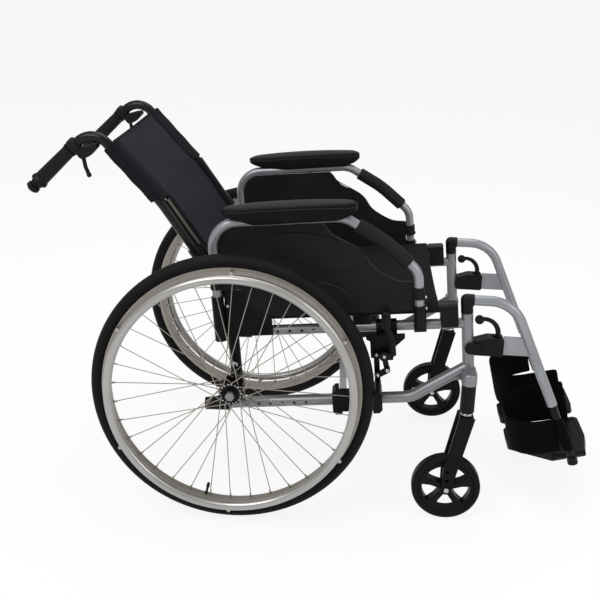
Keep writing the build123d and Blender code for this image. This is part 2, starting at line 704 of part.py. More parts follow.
def caster_fork():
    """Swivel fork: stem and washer, crown, two slanted legs with spare axle holes, and the axle."""
    top = fork_top_z()
    leg_near = CASTER_TYRE_W / 2 + FORK_SIDE_GAP
    x = caster_x()
    knee = CASTER_R + 2 * FORK_HOLE_PITCH
    front = (stem_x() + FORK_LEG_W / 2, top)
    rear = (stem_x() - FORK_LEG_W / 2, top)
    low_front = (x + FORK_FOOT_R + 4.0, knee - FORK_HOLE_PITCH)
    low_rear = (x - FORK_FOOT_R, knee)
    outline = polygon(front, rear, low_rear, (x - FORK_FOOT_R, CASTER_R), (x + FORK_FOOT_R, CASTER_R), low_front)
    outline += Pos(x, CASTER_R) * Circle(FORK_FOOT_R)
    for index in range(FORK_HOLES):
        outline -= Pos(x, CASTER_R + (index + 1) * FORK_HOLE_PITCH) * Circle(CASTER_AXLE_R - 1.0)
    outer = slab(SIDE, outline, CASTER_D + leg_near, CASTER_D + leg_near + FORK_LEG_T)
    inner = slab(SIDE, outline, CASTER_D - leg_near - FORK_LEG_T, CASTER_D - leg_near)
    crown = Pos(stem_x(), top - FORK_CROWN_H / 2) * Rectangle(FORK_LEG_W - 4.0, FORK_CROWN_H)
    fork = outer + inner + slab(SIDE, crown, CASTER_D - leg_near, CASTER_D + leg_near)
    fork += Pos(stem_x(), -CASTER_D, top) * Cylinder(WASHER_R, WASHER_H - TOUCH, align=CENTRED)
    fork += Pos(stem_x(), -CASTER_D, top) * Cylinder(STEM_R, WASHER_H + HOUSING_H - 12.0, align=CENTRED)
    cap = FORK_LEG_T + 2.0
    return fork + across(SIDE, x, CASTER_R, CASTER_D - leg_near - cap, CASTER_D + leg_near + cap, CASTER_AXLE_R)


def caster_wheel():
    """Five-spoke caster wheel and the solid tyre on it, as two pieces."""
    seat_r = CASTER_R - CASTER_TYRE_H
    half = CASTER_WHEEL_W / 2
    disc = Circle(seat_r) - Circle(seat_r - CASTER_RIM_T) + Circle(CASTER_HUB_R)
    reach = seat_r - CASTER_RIM_T / 2
    for index in range(CASTER_SPOKES):
        arm = polygon(
            (0, CASTER_SPOKE_W / 2), (reach * 0.6, CASTER_SPOKE_W / 2), (reach, CASTER_FLARE_W / 2),
            (reach, -CASTER_FLARE_W / 2), (reach * 0.6, -CASTER_SPOKE_W / 2), (0, -CASTER_SPOKE_W / 2),
        )
        disc += Rot(0, 0, 18 + 360 * index / CASTER_SPOKES) * arm
    disc -= Circle(CASTER_AXLE_R + RUN)
    place = Pos(caster_x(), CASTER_R)
    wheel = slab(SIDE, place * disc, CASTER_D - half, CASTER_D + half)
    hub_half = CASTER_TYRE_W / 2 + FORK_SIDE_GAP - TOUCH
    boss = place * (Circle(CASTER_HUB_R - 3.0) - Circle(CASTER_AXLE_R + RUN))
    wheel += slab(SIDE, boss, CASTER_D - hub_half, CASTER_D + hub_half)
    middle = Plane(origin=(caster_x(), -CASTER_D, CASTER_R), x_dir=(0, -1, 0), z_dir=(-1, 0, 0))
    section = Pos(0, CASTER_R - CASTER_TYRE_H / 2) * RectangleRounded(CASTER_TYRE_W, CASTER_TYRE_H, 6.0)
    section -= Pos(0, seat_r + RUN) * Rectangle(CASTER_TYRE_W, CASTER_TYRE_H, align=(Align.CENTER, Align.MAX))
    tread = revolve(middle * section, Axis((caster_x(), 0, CASTER_R), (0, 1, 0)))
    return [wheel, tread]


def cross_section(s):
    """Plane square to the frame slope: x to the left, y up."""
    return Plane(origin=tilted(s, 0, 0), x_dir=(0, 1, 0), z_dir=ALONG)


def brace(lean, offset):
    """One half of the cross brace: a flat arm from a lower tube up to the rail of the other side.

    lean is 1 for the half hinged on the right-hand lower tube and -1 for the other half; offset moves its
    arm along the frame so that the two halves pass each other.
    """
    low = (-lean * FRAME_D, LOWER_T)
    high = (lean * FRAME_D, RAIL_T)
    rise = RAIL_T - LOWER_T
    length = hypot(2 * FRAME_D, rise)
    angle = degrees(atan2(rise, 2 * FRAME_D))
    turn = angle if lean > 0 else 180 - angle
    middle = (0, (LOWER_T + RAIL_T) / 2)
    rail = bar(tilted(RAIL_REAR_S, RAIL_T, -high[0]), tilted(RAIL_FRONT_S, RAIL_T, -high[0]), RAIL_R)
    plane = cross_section(BRACE_S + offset - BRACE_T / 2)
    arm = Pos(*middle) * Rot(0, 0, turn) * Rectangle(length, BRACE_W)
    arm += Pos(*low) * Circle(BRACE_RING_R)
    arm -= Pos(*high) * Rectangle(4 * RAIL_R, 4 * BRACE_W, align=(Align.MIN if lean > 0 else Align.MAX, Align.CENTER))
    arm -= Pos(0, RAIL_T + RAIL_R / 2) * Rectangle(4 * FRAME_D, BRACE_W, align=(Align.CENTER, Align.MIN))
    arm -= Pos(*low) * Circle(LOWER_TUBE_R + RUN)
    part = rail + extrude(plane * arm, BRACE_T)
    return part + brace_web(lean, offset, turn)


def brace_web(lean, offset, turn):
    """Flat web that ties the arm to the rail behind it."""
    start = BRACE_S + offset
    corner = tilted(start, RAIL_T, -lean * FRAME_D)
    down = Vector(0, -cos(radians(turn)), 0) - ACROSS * sin(radians(turn))
    normal = ALONG.cross(down)
    plane = Plane(origin=corner, x_dir=ALONG, z_dir=normal)
    web = plane * polygon((0, 0), (-BRACE_WEB_S, 0), (0, BRACE_WEB_DROP))
    return extrude(web, BRACE_WEB_T / 2, both=True)


def brace_right():
    """Brace half hinged on the right-hand lower tube; it carries the left-hand rail and the centre pin."""
    offset = -(BRACE_T + BRACE_GAP) / 2
    part = brace(1, offset)
    end = BRACE_S - offset + BRACE_T / 2 + TOUCH
    middle = (LOWER_T + RAIL_T) / 2
    part += along_bar(BRACE_S + offset, end, middle, 0, BRACE_PIN_R)
    return part + along_bar(end, end + BRACE_PIN_HEAD_H, middle, 0, BRACE_PIN_HEAD_R)


def brace_left():
    """Brace half hinged on the left-hand lower tube; it carries the right-hand rail."""
    part = brace(-1, (BRACE_T + BRACE_GAP) / 2)
    return part - along_bar(RAIL_REAR_S, RAIL_FRONT_S, (LOWER_T + RAIL_T) / 2, 0, BRACE_PIN_R + RUN)


def seat_sling():
    """Seat cloth stretched over both rails, with a slight sag."""
    inner = RAIL_R + TOUCH
    outer = inner + SEAT_T
    low = RAIL_T + inner
    top = RAIL_T + outer
    panel = shape(
        ThreePointArc((-FRAME_D, low), (0, low - SEAT_SAG), (FRAME_D, low)),
        Line((FRAME_D, low), (FRAME_D, top)),
        ThreePointArc((FRAME_D, top), (0, top - SEAT_SAG), (-FRAME_D, top)),
        Line((-FRAME_D, top), (-FRAME_D, low)),
    )
    for lean in (1, -1):
        hem = Circle(outer) - Circle(inner)
        keep = Pos(0, outer / 2) * Rectangle(outer, outer, align=(Align.MIN if lean > 0 else Align.MAX, Align.CENTER))
        keep += Rectangle(outer, 2 * SEAT_HEM_DROP, align=(Align.MIN if lean > 0 else Align.MAX, Align.CENTER))
        panel += Pos(lean * FRAME_D, RAIL_T) * (hem & keep)
    panel -= Pos(-FRAME_D, RAIL_T) * Circle(inner) + Pos(FRAME_D, RAIL_T) * Circle(inner)
    cloth = extrude(cross_section(SEAT_REAR_S) * panel, SEAT_FRONT_S - SEAT_REAR_S)
    rear_notch = Pos(PLATE_FRONT_S / 2, RAIL_T) * Rectangle(PLATE_FRONT_S + 2 * SEAT_NOTCH, 4 * outer)
    front_notch = Pos(ARM_FRONT_S, RAIL_T) * Rectangle(2 * (SOCKET_R + SEAT_NOTCH), 4 * outer)
    edge = FRAME_D + REAR_UPRIGHT_R - SEAT_NOTCH
    notches = slab(TILT, rear_notch, edge, edge + 2 * outer) + slab(TILT, front_notch, edge, edge + 2 * outer)
    return cloth - notches - mirror(notches, about=Plane.XZ)


def arm_bow():
    """Middle of the armrest's bowed front slope."""
    run = Vector(ARM_FRONT_S - ARM_SLOPE_S, ARM_SLOPE_T - ARM_TOP_T, 0)
    rise = Vector(-run.Y, run.X, 0).normalized() * ARM_BOW
    return (ARM_SLOPE_S + ARM_FRONT_S) / 2 + rise.X, (ARM_TOP_T + ARM_SLOPE_T) / 2 + rise.Y


def arm_points():
    """Corners of the armrest tube, from its rear leg's end to its front leg's end."""
    rear_end = REAR_SOCKET_BOTTOM_T + SOCKET_FLOOR + TOUCH
    front_end = FRONT_SOCKET_BOTTOM_T + SOCKET_FLOOR + TOUCH
    return [
        (ARM_REAR_S, rear_end), (ARM_REAR_S, ARM_TOP_T), (ARM_SLOPE_S, ARM_TOP_T),
        arm_bow(), (ARM_FRONT_S, ARM_SLOPE_T), (ARM_FRONT_S, front_end),
    ]


def armrest_tube():
    """Bent armrest tube with two legs."""
    bends = [ARM_REAR_BEND, ARM_SLOPE_BEND, ARM_BOW_R, ARM_FRONT_BEND]
    return bent_tube(TILT, ARM_D, arm_points(), bends, ARM_TUBE_R)


def foam_sleeve(radius, past):
    """Round form along the armrest's front slope where the foam grip sits, with ends that run past it."""
    middle = Vector(*arm_bow())
    rear = Vector(ARM_SLOPE_S, ARM_TOP_T, 0)
    front = Vector(ARM_FRONT_S, ARM_SLOPE_T, 0)
    start = rear + (middle - rear).normalized() * (FOAM_REAR_GAP - past)
    end = front + (middle - front).normalized() * (FOAM_FRONT_GAP - past)
    points = [(start.X, start.Y), (middle.X, middle.Y), (end.X, end.Y)]
    return bent_tube(TILT, ARM_D, points, [ARM_BOW_R], radius)


def arm_grip():
    """Foam grip on the front slope and the two collars on the legs, as separate pieces."""
    foam = foam_sleeve(FOAM_R, 0)
    foam = fillet(foam.edges().filter_by(GeomType.CIRCLE).group_by(SortBy.RADIUS)[0], 3.0)
    pieces = [foam - foam_sleeve(ARM_TUBE_R + RUN, 1.0)]
    for s, t, height in ((ARM_REAR_S, REAR_COLLAR_T, REAR_COLLAR_H), (ARM_FRONT_S, FRONT_COLLAR_T, FRONT_COLLAR_H)):
        low = tilted(s, t, ARM_D)
        high = tilted(s, t + height, ARM_D)
        pieces.append(bar(low, high, COLLAR_R) - bar(low, high, ARM_TUBE_R + RUN))
    return pieces


def arm_pad():
    """Armrest pad with a flat base that lifts at both ends, rounded ends and a crowned top."""
    base = ARM_TOP_T + ARM_TUBE_R + RUN
    length = PAD_LENGTH / 2
    shoulder = base + PAD_H - PAD_CROWN
    middle = PAD_REAR_S + length
    plan = Plane(origin=tilted(middle, base, PAD_INNER_D + PAD_W / 2), x_dir=ALONG, z_dir=ACROSS)
    body = extrude(plan * RectangleRounded(PAD_LENGTH, PAD_W, PAD_W / 2 - 1.0), PAD_H)
    profile = shape(
        Polyline(
            (middle - length, shoulder), (middle - length, base + PAD_REAR_LIFT),
            (middle - length + PAD_REAR_BEVEL, base), (middle + length - PAD_NOSE_BEVEL, base),
            (middle + length, base + PAD_NOSE_LIFT), (middle + length, shoulder),
        ),
        ThreePointArc((middle + length, shoulder), (middle, base + PAD_H), (middle - length, shoulder)),
    )
    pad = body & slab(TILT, profile, PAD_INNER_D, PAD_INNER_D + PAD_W)
    return fillet(pad.faces().sort_by(Axis.Z)[-1].edges(), PAD_ROUND)


def side_panel():
    """Plastic clothing guard inside the armrest tube, with a scalloped front edge and a raised oval."""
    rear = ARM_REAR_S + PANEL_EDGE
    front = ARM_FRONT_S - PANEL_EDGE
    top = ARM_TOP_T - PANEL_EDGE
    bend = ARM_REAR_BEND - PANEL_EDGE
    scallop_start = (ARM_SLOPE_S - 48.0, top)
    scallop_end = (front, ARM_SLOPE_T - 24.0)
    scallop = Spline(
        scallop_start, (ARM_SLOPE_S - 29.0, top - 25.0), (ARM_SLOPE_S + 28.0, top - 63.0),
        (ARM_SLOPE_S + 55.0, top - 102.0), (ARM_SLOPE_S + 99.0, top - 132.0), scallop_end,
        tangents=[(1, -0.6), (1, 0)],
    )
    outline = shape(
        Line((rear, PANEL_REAR_T), (rear, top - bend)),
        RadiusArc((rear, top - bend), (rear + bend, top), bend),
        Line((rear + bend, top), scallop_start),
        scallop,
        Polyline(scallop_end, (front, PANEL_BOTTOM_T), (PANEL_STEP_S, PANEL_BOTTOM_T)),
        TangentArc((PANEL_STEP_S, PANEL_BOTTOM_T), (PANEL_STEP_TOP_S, PANEL_REAR_T), tangent=(-1, 0.15)),
        Line((PANEL_STEP_TOP_S, PANEL_REAR_T), (rear, PANEL_REAR_T)),
    )
    panel = slab(TILT, outline, PANEL_D, PANEL_D + PANEL_T)
    oval = Pos(PANEL_BADGE_S, PANEL_BADGE_T) * Rot(0, 0, PANEL_BADGE_TURN)
    oval = oval * Ellipse(PANEL_BADGE_LENGTH / 2, PANEL_BADGE_H / 2)
    panel += slab(TILT, oval, PANEL_D + PANEL_T / 2, PANEL_D + PANEL_T + PANEL_BADGE_RISE)
    panel -= foam_sleeve(FOAM_R + TOUCH, TOUCH)
    for s, low, high in (
        (ARM_FRONT_S, PANEL_BOTTOM_T - SOCKET_R, FRONT_COLLAR_T + FRONT_COLLAR_H + TOUCH),
        (ARM_REAR_S, PANEL_REAR_T - SOCKET_R, REAR_COLLAR_T + REAR_COLLAR_H + TOUCH),
    ):
        panel -= bar(tilted(s, low, ARM_D), tilted(s, high, ARM_D), max(SOCKET_R, COLLAR_R) + TOUCH)
    return panel


def shoe_point():
    """Brake shoe in the tilted plane, just off the tyre's tread."""
    reach = TYRE_R + SHOE_R + TOUCH
    x = reach * cos(radians(SHOE_ANGLE))
    z = TYRE_R + reach * sin(radians(SHOE_ANGLE))
    return Vector(x * SLOPE_COS + z * SLOPE_SIN, z * SLOPE_COS - x * SLOPE_SIN, 0)


def shoe_pivot():
    """Pivot of the shoe bar, straight above the shoe."""
    return shoe_point() + Vector(0, SHOE_BAR_LENGTH, 0)


def link_pin():
    """Pin on the shoe bar that the link pushes."""
    return shoe_pivot() - Vector(0, LINK_DROP, 0)


def lever_pivot():
    """Pivot of the brake lever."""
    return shoe_pivot() + Vector(BRAKE_PIVOT_AHEAD, 0, 0)


def arm_pin():
    """Pin on the lever's short arm."""
    return lever_pivot() + Vector(BRAKE_ARM_AHEAD, -BRAKE_ARM_DROP, 0)


def brake_layers():
    """Distances outboard of the brake's plate, bar, lever and link, each with its gap."""
    bar_near = BRAKE_PLATE_D + BRAKE_PLATE_T + BRAKE_GAP
    lever_near = bar_near + SHOE_BAR_T + BRAKE_GAP
    link_near = lever_near + BRAKE_LEVER_T + BRAKE_GAP
    return bar_near, lever_near, link_near


def brake_body():
    """Bracket plate hung from the top tube by a clamp, with the two pivot pins."""
    bar_near, lever_near, link_near = brake_layers()
    pivot = lever_pivot()
    hinge = shoe_pivot()
    low = pivot.Y - 10.0
    brow = TOP_T - TOP_TUBE_R + 1.0
    outline = polygon(
        (hinge.X - 12.0, low), (pivot.X + 21.0, low), (pivot.X + 26.0, low + 25.0), (pivot.X + 46.0, brow - 9.0),
        (pivot.X + 46.0, brow), (hinge.X - 20.0, brow), (hinge.X - 20.0, brow - 9.0), (hinge.X - 12.0, brow - 14.0),
    )
    body = slab(TILT, outline, BRAKE_PLATE_D, BRAKE_PLATE_D + BRAKE_PLATE_T)
    middle = pivot.X + 8.0
    start = middle - BRAKE_CLAMP_LENGTH / 2
    end = middle + BRAKE_CLAMP_LENGTH / 2
    body += along_bar(start, end, TOP_T, FRAME_D, BRAKE_CLAMP_R)
    arm = Pos(middle, brow - 4.0) * Rectangle(BRAKE_CLAMP_LENGTH, 12.0)
    body += slab(TILT, arm, FRAME_D, BRAKE_PLATE_D)
    body -= along_bar(start - 1, end + 1, TOP_T, FRAME_D, TOP_TUBE_R + RUN)
    plate_near = BRAKE_PLATE_D
    body += across(TILT, hinge.X, hinge.Y, plate_near, bar_near + SHOE_BAR_T, BRAKE_PIN_R)
    return body + across(TILT, pivot.X, pivot.Y, plate_near, link_near - BRAKE_GAP / 2, BRAKE_PIN_R)


def brake_lever():
    """Hand lever: pivot boss and short arm, curved shank and thick handle."""
    bar_near, near, link_near = brake_layers()
    far = near + BRAKE_LEVER_T
    middle = (near + far) / 2
    pivot = lever_pivot()
    pin = arm_pin()
    boss = Pos(pivot.X, pivot.Y) * Circle(10.0) + Pos(pin.X, pin.Y) * Circle(6.5)
    boss += Pos((pivot.X + pin.X) / 2, (pivot.Y + pin.Y) / 2) * Rotation(
        0, 0, degrees(atan2(pin.Y - pivot.Y, pin.X - pivot.X))) * Rectangle(hypot(pin.X - pivot.X, pin.Y - pivot.Y), 11.0)
    boss += Pos(pivot.X + 9.0, pivot.Y) * Rectangle(20.0, 15.0)
    lever = slab(TILT, boss, near, far)
    top = pivot.Y + BRAKE_HANDLE_H
    knee = (pivot.X + 19.0, pivot.Y + 2.0)
    elbow = (pivot.X + 18.0, pivot.Y + 38.0)
    grip = (pivot.X + 8.0, pivot.Y + 52.0 + 12.0)
    end = (pivot.X + 8.0, top)
    lever += bent_tube(TILT, middle, [knee, elbow, grip, end], [14.0, 14.0], BRAKE_SHANK_R)
    handle = bar(tilted(*grip, middle), tilted(*end, middle), BRAKE_HANDLE_R)
    lever += fillet(handle.edges().filter_by(GeomType.CIRCLE), BRAKE_HANDLE_R / 2)
    lever += across(TILT, pin.X, pin.Y, near, link_near + BRAKE_LINK_T + BRAKE_GAP, BRAKE_PIN_R)
    return lever - across(TILT, pivot.X, pivot.Y, near - 1, far + 1, BRAKE_PIN_R + RUN)


def brake_link():
    """Short link from the lever's arm to the shoe bar; its far eye has play."""
    near = brake_layers()[2]
    a = arm_pin()
    b = link_pin()
    run = b - a
    link = Pos(*(a + run / 2)) * Rot(0, 0, degrees(atan2(run.Y, run.X))) * SlotCenterToCenter(run.length, 13.0)
    link -= Pos(a.X, a.Y) * Circle(BRAKE_PIN_R + RUN)
    link -= Pos(b.X, b.Y) * Circle(BRAKE_PIN_R + BRAKE_LINK_PLAY)
    return slab(TILT, link, near, near + BRAKE_LINK_T)


def brake_shoe():
    """Hanging bar with the round shoe that presses on the tread."""
    near, lever_near, link_near = brake_layers()
    hinge = shoe_pivot()
    shoe = shoe_point()
    pin = link_pin()
    outline = Pos(*((hinge + shoe) / 2)) * Rot(0, 0, 90) * SlotCenterToCenter(SHOE_BAR_LENGTH, SHOE_BAR_W)
    part = slab(TILT, outline, near, near + SHOE_BAR_T)
    part += across(TILT, shoe.X, shoe.Y, near, WHEEL_D + TYRE_W / 2 - SHOE_OVERHANG, SHOE_R)
    part += across(TILT, pin.X, pin.Y, near, link_near + BRAKE_LINK_T + BRAKE_GAP, BRAKE_PIN_R)
    return part - across(TILT, hinge.X, hinge.Y, near - 1, near + SHOE_BAR_T + 1, BRAKE_PIN_R + RUN)


def hanger_points():
    """Corners of the legrest tube in the upright plane: start at the elbow, bend, lower end."""
    top = tilted(UPRIGHT_S, HANGER_T, 0)
    start = (top.X + ELBOW_REACH + TOUCH, top.Z)
    corner = (top.X + HANGER_REACH, top.Z)
    end = (corner[0] + HANGER_DROP * tan(radians(HANGER_LEAN)), top.Z - HANGER_DROP)
    return start, corner, end


def latch_front():
    """X of the latch body's front face."""
    return tilted(UPRIGHT_S, LATCH_Z, 0).X + LATCH_AHEAD + LATCH_LENGTH


def legrest_hanger():
    """Swing-away legrest tube with the flat bar that carries the latch."""
    start, corner, end = hanger_points()
    tube = bent_tube(SIDE, FRAME_D, [start, corner, end], [HANGER_BEND], HANGER_R)
    reach = corner[0] + (corner[1] - LATCH_Z) * tan(radians(HANGER_LEAN))
    length = reach - latch_front() - TOUCH
    flat = Pos(reach - length / 2, LATCH_Z) * Rectangle(length, LATCH_H)
    bar_part = slab(SIDE, flat, FRAME_D - LATCH_BAR_T / 2, FRAME_D + LATCH_BAR_T / 2)
    keep = polygon((latch_front(), 0), (end[0], 0), (end[0], end[1]), corner, (latch_front(), corner[1]))
    bar_part &= slab(SIDE, keep, 0, 2 * FRAME_D)
    return tube + bar_part


def latch_pivot():
    """Pivot of the latch lever in the upright plane."""
    return latch_front() - LEVER_PIVOT_BACK, LATCH_Z + LEVER_PIVOT_RISE


def legrest_fittings():
    """Black elbow on the pivot pin and black latch body, as two pieces."""
    low = tilted(UPRIGHT_S, UPRIGHT_TOP_T + TOUCH, FRAME_D)
    corner = tilted(UPRIGHT_S, HANGER_T, FRAME_D)
    elbow = bar(low, corner, ELBOW_R) + Pos(*corner) * Sphere(ELBOW_R)
    elbow += bar(corner, corner + Vector(ELBOW_REACH, 0, 0), ELBOW_R)
    pin_end = tilted(UPRIGHT_S, UPRIGHT_TOP_T + LEG_PIN_H + TOUCH, FRAME_D)
    elbow -= bar(low - ACROSS, pin_end, LEG_PIN_R + RUN)
    return [elbow, latch_body()]


def latch_body():
    """Moulded latch in front of the upright, with a cheek past its outer side and a slot for the lever."""
    front = latch_front()
    rear = front - LATCH_LENGTH
    outline = polygon(
        (rear, LATCH_Z - LATCH_H / 2), (front, LATCH_Z - LATCH_H / 2), (front, LATCH_Z + LATCH_H / 2),
        (front - 34.0, LATCH_Z + LATCH_H / 2), (rear, LATCH_Z + LATCH_H / 4),
    )
    outline = fillet(outline.vertices(), 5.0)
    body = slab(SIDE, outline, FRAME_D - LATCH_W / 2, FRAME_D + LATCH_W / 2)
    outer = FRAME_D + LATCH_W / 2
    nose = Pos(rear, LATCH_Z - 4.0) * SlotOverall(2 * LATCH_CHEEK, LATCH_H * 0.6)
    body += slab(SIDE, nose, outer - 1.0, outer - 1.0 + LATCH_CHEEK_T)
    low = tilted(UPRIGHT_S, 0, FRAME_D)
    body -= bar(low, tilted(UPRIGHT_S, UPRIGHT_TOP_T, FRAME_D), UPRIGHT_R + LATCH_CLEAR)
    x, z = latch_pivot()
    slot = Pos(x + LEVER_ROOT_R / 2, z + LATCH_H / 2) * Rectangle(3.2 * LEVER_ROOT_R, LATCH_H + 2 * LEVER_ROOT_R + 2)
    body -= slab(SIDE, slot, FRAME_D - LEVER_SLOT_W / 2, FRAME_D + LEVER_SLOT_W / 2)
    return body + across(SIDE, x, z, FRAME_D - LATCH_W / 2, FRAME_D + LATCH_W / 2, LEVER_PIN_R)


def latch_lever():
    """Hooked release lever, a horn that tapers from its root to a ball end."""
    x, z = latch_pivot()
    half = LEVER_SLOT_W / 2 - TOUCH
    root = across(SIDE, x, z, FRAME_D - half, FRAME_D + half, LEVER_ROOT_R)
    plane = SIDE.offset(FRAME_D)
    points = [(x, z), (x + 3.0, z + 20.0), (x - 5.0, z + 40.0), (x - LEVER_BACK, z + LEVER_RISE - 3.0)]
    horn = Spline([plane.from_local_coords((a, b, 0)) for a, b in points])
    sections = []
    for share in (0.0, 0.3, 0.6, 0.8, 1.0):
        radius = LEVER_R + (LEVER_NECK_R - LEVER_R) * share
        sections.append(Plane(origin=horn @ share, z_dir=horn % share, x_dir=(0, 1, 0)) * Circle(radius))
    root += loft(sections)
    root += plane * Pos(*points[-1]) * Rot(0, 0, 90) * Sphere(LEVER_BALL_R)
    return root - across(SIDE, x, z, FRAME_D - 2 * half, FRAME_D + 2 * half, LEVER_PIN_R + RUN)


def foot_end():
    """Lower end of the foot tube in the upright plane."""
    end = hanger_points()[2]
    lean = radians(HANGER_LEAN)
    return end[0] + FOOT_TUBE_LENGTH * sin(lean), end[1] - FOOT_TUBE_LENGTH * cos(lean)


def foot_plane():
    """Footplate's plane at its hinge: x forward along the hinge, y towards the middle, z up."""
    x, z = foot_end()
    tilt = radians(PLATE_TILT)
    place = Vector(x, -(FRAME_D - HINGE_INBOARD), z)
    return Plane(origin=place, x_dir=(cos(tilt), 0, sin(tilt)), z_dir=(-sin(tilt), 0, cos(tilt)))


def hinge_bar(start, end, radius):
    """Round bar along the footplate's hinge."""
    plane = foot_plane()
    return bar(plane.from_local_coords((start, 0, 0)), plane.from_local_coords((end, 0, 0)), radius)


def foot_tube():
    """Inner leg tube with the knuckle and pin of the footplate's hinge."""
    start = hanger_points()[2]
    end = foot_end()
    lean = radians(HANGER_LEAN)
    top = Vector(start[0] + TOUCH * sin(lean), -FRAME_D, start[1] - TOUCH * cos(lean))
    tube = bar(top, Vector(end[0], -FRAME_D, end[1]), FOOT_TUBE_R)
    plane = foot_plane()
    shoe = plane * Pos(0, -HINGE_INBOARD / 2, 0) * Box(KNUCKLE_W, HINGE_INBOARD, 2 * KNUCKLE_R)
    shoe += bar(plane.from_local_coords((0, -HINGE_INBOARD, -KNUCKLE_R)),
                plane.from_local_coords((0, -HINGE_INBOARD, KNUCKLE_R)), FOOT_TUBE_R + 3.0)
    reach = KNUCKLE_W / 2 + KNUCKLE_GAP + LUG_LENGTH
    return tube + shoe + hinge_bar(-KNUCKLE_W / 2, KNUCKLE_W / 2, KNUCKLE_R) + hinge_bar(-reach, reach, HINGE_PIN_R)


def footplate():
    """Flip-up footplate: moulded plate with a shallow tray, two hinge lugs and the strap's tongue."""
    plane = foot_plane()
    inner = KNUCKLE_W / 2 + KNUCKLE_GAP
    outer = inner + LUG_LENGTH
    edge = KNUCKLE_R - 3.0
    outline = polygon(
        (-outer, edge), (outer, edge), (FOOT_FRONT, 0.4 * FOOT_REACH), (FOOT_FRONT, FOOT_REACH),
        (-FOOT_REAR, FOOT_REACH), (-FOOT_REAR, FOOT_CUT_V), (-FOOT_CUT_U, edge),
    )
    outline = fillet(outline.vertices().filter_by_position(Axis.Y, edge + 1, 2 * FOOT_REACH), FOOT_CORNER)
    plate = extrude(plane.offset(-FOOT_BOTTOM) * outline, FOOT_BOTTOM + FOOT_TOP)
    tray = offset(outline, -FOOT_RIM)
    plate -= extrude(plane.offset(FOOT_TOP - FOOT_RECESS) * tray, 2 * FOOT_RECESS)
    for start, end in ((-outer, -inner), (inner, outer)):
        plate += hinge_bar(start, end, KNUCKLE_R)
    room = KNUCKLE_R + 2.0
    plate -= plane * Box(2 * inner, 2 * room, 4 * room)
    plate -= hinge_bar(-2 * outer, 2 * outer, HINGE_PIN_R + RUN)
    tongue = Pos(TONGUE_U, TONGUE_H / 2) * RectangleRounded(TONGUE_W, TONGUE_H + 2 * FOOT_RECESS, TONGUE_W / 2 - 1.0)
    tongue += Pos(TONGUE_U, TONGUE_H / 4) * Rectangle(TONGUE_W, TONGUE_H / 2)
    wall = Plane(origin=plane.from_local_coords((0, FOOT_REACH, FOOT_TOP - FOOT_RECESS)),
                 x_dir=plane.x_dir, z_dir=-plane.y_dir)
    return plate + extrude(wall * tongue, TONGUE_T)


def heel_strap():
    """Webbing loop behind the heel, from the footplate's tongue to the foot tube."""
    plane = foot_plane()
    inner = FOOT_REACH - TONGUE_T - TOUCH - STRAP_T / 2
    lean = radians(HANGER_LEAN - PLATE_TILT)
    middle = STRAP_LOW + STRAP_W / 2
    tube_u = -middle * tan(lean)
    path = FilletPolyline(
        (TONGUE_U + TONGUE_W / 2, inner), (-STRAP_BACK, inner), (-STRAP_BACK, -HINGE_INBOARD),
        (tube_u - FOOT_TUBE_R - TOUCH - STRAP_T, -HINGE_INBOARD), radius=[STRAP_BEND, STRAP_BEND],
    )
    band = extrude(plane.offset(STRAP_LOW) * trace(path, STRAP_T), STRAP_W)
    low = plane.from_local_coords((-STRAP_LOW * tan(lean), -HINGE_INBOARD, STRAP_LOW))
    high = plane.from_local_coords((-(STRAP_LOW + STRAP_W) * tan(lean), -HINGE_INBOARD, STRAP_LOW + STRAP_W))
    band += bar(low, high, FOOT_TUBE_R + TOUCH + STRAP_T)
    return band - bar(low - (high - low), high + (high - low), FOOT_TUBE_R + TOUCH)


def back_pivot():
    """Recline pivot in the upright plane."""
    point = tilted(PIVOT_S, PIVOT_T, 0)
    return Vector(point.X, point.Z, 0)


def lean_vector(angle):
    """Unit vector that leans back from the vertical by an angle, in the upright plane."""
    return Vector(-sin(radians(angle)), cos(radians(angle)), 0)


def cane_knee():
    """Where the cane's lower part meets its upper part."""
    return back_pivot() + lean_vector(CANE_LEAN) * CANE_LOWER


def cane_top():
    """Where the cane's upper part runs into the handle's bend."""
    return cane_knee() + lean_vector(CANE_LEAN + CANE_BEND) * CANE_UPPER


def handle_plane():
    """Plane at the start of the straight handle: z runs along the handle to its free end."""
    lean = CANE_LEAN + CANE_BEND
    forward = lean_vector(lean)
    handle = lean_vector(lean + HANDLE_TURN)
    tangent = HANDLE_BEND_R * tan(radians(HANDLE_TURN / 2))
    start = cane_top() + forward * tangent + handle * tangent
    return Plane(origin=(start.X, -FRAME_D, start.Y), x_dir=(0, -1, 0), z_dir=(handle.X, 0, handle.Y))


def handle_length():
    """Length of tube inside the grip, past the bend."""
    return GRIP_START + GRIP_LENGTH


